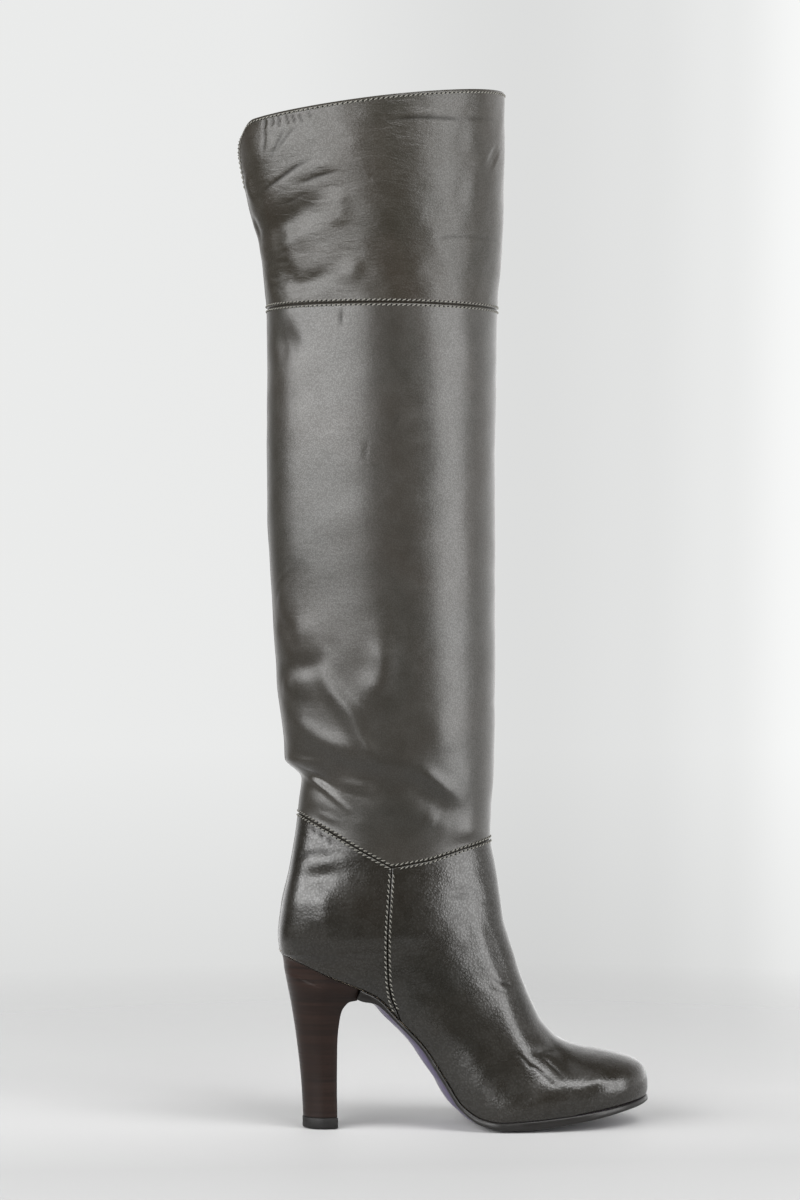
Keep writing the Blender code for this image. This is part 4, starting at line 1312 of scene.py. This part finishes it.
def add_shaft(lining):
    """The leg of the boot, in smooth leather."""
    leather = leather_material(
        "olive_leather", 0.5, 1200.0,
        ((0.0180, 0.0170, 0.0140), (0.0218, 0.0188, 0.0151), (0.029, 0.027, 0.0228)),
        (0.31, 0.39),
    )
    shaft = Panel(both_sides(thirds(150), whole(0.0), whole(0.0)), shaft_span, thirds(238))
    relief = fold_relief(shaft, SHAFT_FOLDS, OUTER) + fold_relief(shaft, SHAFT_INNER_FOLDS, INNER)
    relief += 0.16 * ripple(shaft.points, 60.0, 5) + 0.08 * ripple(shaft.points, 22.0, 6)
    relief *= calm(shaft.from_bottom, 9.0) * calm(shaft.from_top + 2.0, 9.0)
    relief += rolled_edge(shaft.from_top, *SEAM_EDGE) + rolled_edge(shaft.from_bottom, *SEAM_EDGE)
    relief += rolled_edge(shaft.from_first, *BACK_EDGE) + rolled_edge(shaft.from_last, *BACK_EDGE)
    shaft.raise_by(relief)
    add_panel("shaft_leather", shaft, leather, lining, "shaft")
    return shaft


def add_quarter(name, side, leather, lining):
    """One side of the counter, from the seam at the back to the seam with the vamp."""
    columns = edge_columns(thirds(80), whole(0.0), lambda t: seam_share(t, side), side, EDGE_STEPS)
    if side == INNER:
        columns = columns[::-1]
    quarter = Panel(columns, upper_span(SEAM_FOOT[side] - 0.04), thirds(130))
    relief = fold_relief(quarter, QUARTER_FOLDS, side)
    relief += 0.12 * ripple(quarter.points, 30.0, 7)
    relief *= calm(quarter.from_top, 8.0) * calm(quarter.from_first, 6.0) * calm(quarter.from_last, 6.0)
    relief += rolled_edge(quarter.from_top, *SEAM_EDGE)
    seam = quarter.from_last if side == OUTER else quarter.from_first
    back = quarter.from_first if side == OUTER else quarter.from_last
    relief += rolled_edge(seam, *SEAM_EDGE) + rolled_edge(back, *BACK_EDGE)
    quarter.raise_by(relief)
    add_panel(name, quarter, leather, lining, "upper")
    return quarter


WAIST_Z = 60.0  # under this the vamp's sides meet the sole, over it the quarters
WAIST_DEPTH = 0.35
SIDE_DEPTH = 0.8


def add_vamp(leather, lining):
    """The front of the foot, from one side seam round the toe to the other."""

    def edge(side):
        return lambda t: np.where(t < SEAM_FOOT[side], seam_share(t, side), 0.0)

    vamp = Panel(both_sides(thirds(150), edge(OUTER), edge(INNER)), upper_span(LAST_ROW), thirds(220))
    relief = fold_relief(vamp, VAMP_FOLDS, OUTER) + fold_relief(vamp, VAMP_INNER_FOLDS, INNER)
    relief += 0.16 * ripple(vamp.points, 34.0, 8) + 0.06 * ripple(vamp.points, 13.0, 9)
    relief *= calm(vamp.from_top, 8.0) * calm(vamp.from_first, 7.0)
    relief *= calm(vamp.from_last, 7.0) * calm(vamp.from_bottom, 10.0)
    side_depth = np.where(vamp.points[:, :, 2] < WAIST_Z, WAIST_DEPTH, SIDE_DEPTH)
    sides = rolled_edge(np.minimum(vamp.from_first, vamp.from_last), side_depth, SEAM_EDGE[1])
    feather = rolled_edge(vamp.from_bottom, *FEATHER_EDGE)
    relief += rolled_edge(vamp.from_top, *SEAM_EDGE) + np.minimum(feather, sides)
    vamp.raise_by(relief)
    # The points of the lower corners lie too close together to have normals of their own.
    vamp.normals[-4:, :4] = vamp.normals[-7, 6]
    vamp.normals[-4:, -4:] = vamp.normals[-7, -7]
    add_panel("vamp_leather", vamp, leather, lining, "upper")
    return vamp


# Distances of the rows of stitches from the edges.
RIM_STITCHES = 1.9
CUFF_STITCHES = 2.2
ANKLE_STITCHES = 1.9
SIDE_STITCHES = 1.8
RIM_END_Z = 560.0  # how far down the slit the collar's row of stitches runs
VAMP_END_Z = 71.0  # where the vamp's row beside the side seam ends
INSIDE = 8  # a row or column that lies well inside an edge


def row_line(panel, row, distance):
    """A line this far inside a panel's first or last row."""
    inside = panel.points[INSIDE if row == 0 else -1 - INSIDE] - panel.points[row]
    return edge_line(panel.points[row], panel.normals[row], inside, distance)


def column_line(panel, column, distance, rows):
    """A line this far inside a panel's first or last column, at these rows."""
    inside = panel.points[rows, INSIDE if column == 0 else -1 - INSIDE] - panel.points[rows, column]
    return edge_line(panel.points[rows, column], panel.normals[rows, column], inside, distance)


def sew_seams(cuff, shaft, quarters, vamp):
    """The rows of stitches: round the collar and slit, and on both sides of each seam."""
    end = np.argmax(cuff.points[:, 0, 2] < RIM_END_Z)

    def round_rim(grid, step):
        return np.concatenate([grid[end:0:-1, step], grid[step], grid[1:end, -1 - step]])

    rim = round_rim(cuff.points, 0)
    inside = round_rim(cuff.points, INSIDE) - rim
    sew(cuff, edge_line(rim, round_rim(cuff.normals, 0), inside, RIM_STITCHES))
    sew(cuff, row_line(cuff, -1, CUFF_STITCHES))
    sew(shaft, row_line(shaft, 0, CUFF_STITCHES))
    sew(shaft, row_line(shaft, -1, ANKLE_STITCHES))
    sew(vamp, row_line(vamp, 0, ANKLE_STITCHES)[10:-10])
    for side, quarter in quarters.items():
        sew(quarter, row_line(quarter, 0, ANKLE_STITCHES))
        rows = np.arange(INSIDE, quarter.points.shape[0] - 12)
        sew(quarter, column_line(quarter, -1 if side == OUTER else 0, SIDE_STITCHES, rows))
        vamp_column = 0 if side == OUTER else -1
        foot = int(np.argmax(vamp.points[:, vamp_column, 2] < VAMP_END_Z))
        sew(vamp, column_line(vamp, vamp_column, SIDE_STITCHES, np.arange(INSIDE, foot)))


def add_leather():
    """Cuff, shaft, quarters and vamp, with their stitches, and the insole's material."""
    lining = lining_material()
    foot_leather = leather_material(
        "olive_leather_grained", 1.3, 720.0,
        ((0.0082, 0.0075, 0.0057), (0.0108, 0.0090, 0.0066), (0.016, 0.0143, 0.0113)),
        (0.24, 0.32),
    )
    cuff = add_cuff(lining)
    shaft = add_shaft(lining)
    quarters = {}
    for side, name in ((OUTER, "outer_quarter"), (INNER, "inner_quarter")):
        quarters[side] = add_quarter(name, side, foot_leather, lining)
    vamp = add_vamp(foot_leather, lining)
    sew_seams(cuff, shaft, quarters, vamp)
    add_piece("stitches", plain_mesh("stitches", *thread_mesh()), [thread_material()])
    # The needle holes are dark lenses of painted shade.
    add_piece("stitch_hole_shades", plain_mesh("stitch_hole_shades", *needle_hole_shade_mesh()), [needle_hole_shade_material()])
    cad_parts["insole"].data.materials.clear()
    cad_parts["insole"].data.materials.append(lining)


def add_bottom():
    """Outsole, heel and top lift."""
    sole = outsole_mesh()
    sole_tones(sole)
    add_piece("outsole_leather", sole, [sole_material()], ["outsole"])
    add_piece("stacked_heel", heel_mesh(), [heel_material()], ["heel"])
    add_piece("rubber_top_lift", lift_mesh(), [rubber_material()], ["top_lift"])


FLOOR_RADIUS = 1.6
FLOOR_DROP = 0.0004  # keeps the floor clear of what stands on it


def add_floor():
    """A round pale floor, darker towards the front as painted shade, that fades into the background."""
    bm = bmesh.new()
    bmesh.ops.create_circle(bm, cap_ends=True, radius=FLOOR_RADIUS, segments=128)
    mesh = bpy.data.meshes.new("floor")
    bm.to_mesh(mesh)
    bm.free()
    material, tree, shader = new_material("floor", (0.50, 0.505, 0.505), 0.7, specular=0.2)
    place = object_place(tree)
    depth = add_node(tree, "SeparateXYZ", Vector=place).outputs["Y"]
    # Painted shade: the floor's colour is darker in front of the boot and lighter behind it.
    feed(shader, "Base Color", spread(tree, depth, -0.14, 0.12, 0.36, 0.51))
    length = add_node(tree, "VectorMath", operation="LENGTH", Vector=place)
    far = spread(tree, length.outputs["Value"], 0.18, 0.9, 0.0, 1.0)
    before = spread(tree, depth, -0.26, -0.42, 0.0, 1.0)
    clear = add_node(tree, "BsdfTransparent").outputs["BSDF"]
    surface_mix = mix_shaders(tree, combine(tree, "MAXIMUM", far, before), shader.outputs["BSDF"], clear)
    feed(tree.nodes["Material Output"], "Surface", surface_mix)
    mesh.materials.append(material)
    floor = bpy.data.objects.new("floor", mesh)
    floor.location = (0.0, 0.0, -FLOOR_DROP)
    bpy.context.scene.collection.objects.link(floor)


# Studio lights in metres and watts: name, place, aim, width, height, power
SOFTBOXES = (
    ("left_softbox", (-1.36, -0.85, 0.98), (-0.04, 0.0, 0.75), 2.75, 0.97, 69.0),
    ("left_low_softbox", (-1.24, -1.03, 0.36), (-0.04, 0.0, 0.36), 2.4, 0.28, 12.2),
    ("left_foot_softbox", (-1.07, -1.29, 0.13), (-0.04, 0.0, 0.13), 1.7, 0.18, 3.9),
    ("right_softbox", (1.36, -0.88, 0.45), (-0.04, 0.0, 0.35), 0.95, 1.95, 37.5),
    ("top_softbox", (0.1, -0.3, 2.0), (0.0, 0.0, 0.2), 1.6, 1.2, 5.0),
    ("toe_softbox", (0.57, -0.97, 1.34), (0.06, 0.0, 0.04), 1.0, 0.62, 17.0),
)


def add_softbox(name, place, aim, width, height, power):
    """A rectangular studio light that faces its aim."""
    data = bpy.data.lights.new(name, "AREA")
    data.shape = "RECTANGLE"
    data.size = width
    data.size_y = height
    data.energy = power
    light = bpy.data.objects.new(name, data)
    light.location = place
    way = np.array(aim) - np.array(place)
    light.rotation_euler = (
        math.acos(-way[2] / np.linalg.norm(way)),
        0.0,
        math.atan2(-way[0], way[1]),
    )
    bpy.context.scene.collection.objects.link(light)


CAMERA_AIM = (-0.0270, 0.0, 0.3147)
CAMERA_DISTANCE = 2.0
CAMERA_YAW = math.radians(-6)
FRAME_HEIGHT = 0.72  # metres that the picture shows from top to bottom, at the boot
SENSOR_HEIGHT = 36.0
BACKDROP_TONE = (0.82, 0.826, 0.822)
# Painted shade on the backdrop: shares across the picture, and its tone there. The ends come first.
BACKDROP_PAINTED_SHADE = ((0.0, 0.825), (1.0, 0.93), (0.3, 0.82), (0.66, 0.722), (0.8, 0.757), (0.9, 0.815))
BACKDROP_TINT = (1.0, 1.008, 1.002)
BRIGHT_WAY = (0.49, 0.74, -0.46)  # where reflections see the brightest part of the studio


def add_world():
    """A pale backdrop for the camera, with painted shade across it and towards the floor. In reflections it
    is bright behind the boot and dark before it.
    """
    world = bpy.data.worlds.new("studio")
    bpy.context.scene.world = world
    world.use_nodes = True
    tree = world.node_tree
    tree.nodes.clear()
    way = add_node(tree, "TexCoord").outputs["Generated"]
    parts = add_node(tree, "SeparateXYZ", Vector=way)

    def along(direction):
        node = add_node(tree, "VectorMath", operation="DOT_PRODUCT", Vector=way)
        node.inputs[1].default_value = direction
        return node.outputs["Value"]

    across = along((math.cos(CAMERA_YAW), math.sin(CAMERA_YAW), 0.0))
    ramp = add_node(tree, "ValToRGB", Fac=spread(tree, across, -0.12, 0.12, 0.0, 1.0))
    ramp.color_ramp.interpolation = "EASE"
    shades = ramp.color_ramp.elements
    for place, tone in BACKDROP_PAINTED_SHADE:
        shade = shades[int(place)] if place in (0.0, 1.0) else shades.new(place)
        shade.color = (*(tone * tint for tint in BACKDROP_TINT), 1.0)
    behind = spread(tree, parts.outputs["Y"], 0.90, 0.95, 0.0, 1.0)
    # Painted shade: the backdrop's tone changes across the picture, and it is darker towards the floor.
    seen = add_node(
        tree, "Background",
        Color=blend_colours(tree, behind, BACKDROP_TONE, ramp.outputs["Color"]),
        Strength=spread(tree, parts.outputs["Z"], -0.12, -0.045, 0.857, 1.0),
    )
    studio = add_node(tree, "Background", Color=spread(tree, along(BRIGHT_WAY), 0.1, 0.85, 0.07, 1.9))
    camera_ray = add_node(tree, "LightPath").outputs["Is Camera Ray"]
    mix = mix_shaders(tree, camera_ray, studio.outputs["Background"], seen.outputs["Background"])
    add_node(tree, "OutputWorld", Surface=mix)


def add_camera():
    """A camera at the photo's angle."""
    data = bpy.data.cameras.new("camera")
    data.sensor_fit = "VERTICAL"
    data.sensor_height = SENSOR_HEIGHT
    data.lens = SENSOR_HEIGHT * CAMERA_DISTANCE / FRAME_HEIGHT
    camera = bpy.data.objects.new("camera", data)
    x = CAMERA_AIM[0] + CAMERA_DISTANCE * math.sin(CAMERA_YAW)
    camera.location = (x, -CAMERA_DISTANCE * math.cos(CAMERA_YAW), CAMERA_AIM[2])
    camera.rotation_euler = (math.pi / 2, 0.0, CAMERA_YAW)
    bpy.context.scene.collection.objects.link(camera)
    bpy.context.scene.camera = camera


add_leather()
add_bottom()
add_floor()
for softbox in SOFTBOXES:
    add_softbox(*softbox)
add_world()
add_camera()
bpy.context.scene.view_settings.view_transform = "Standard"
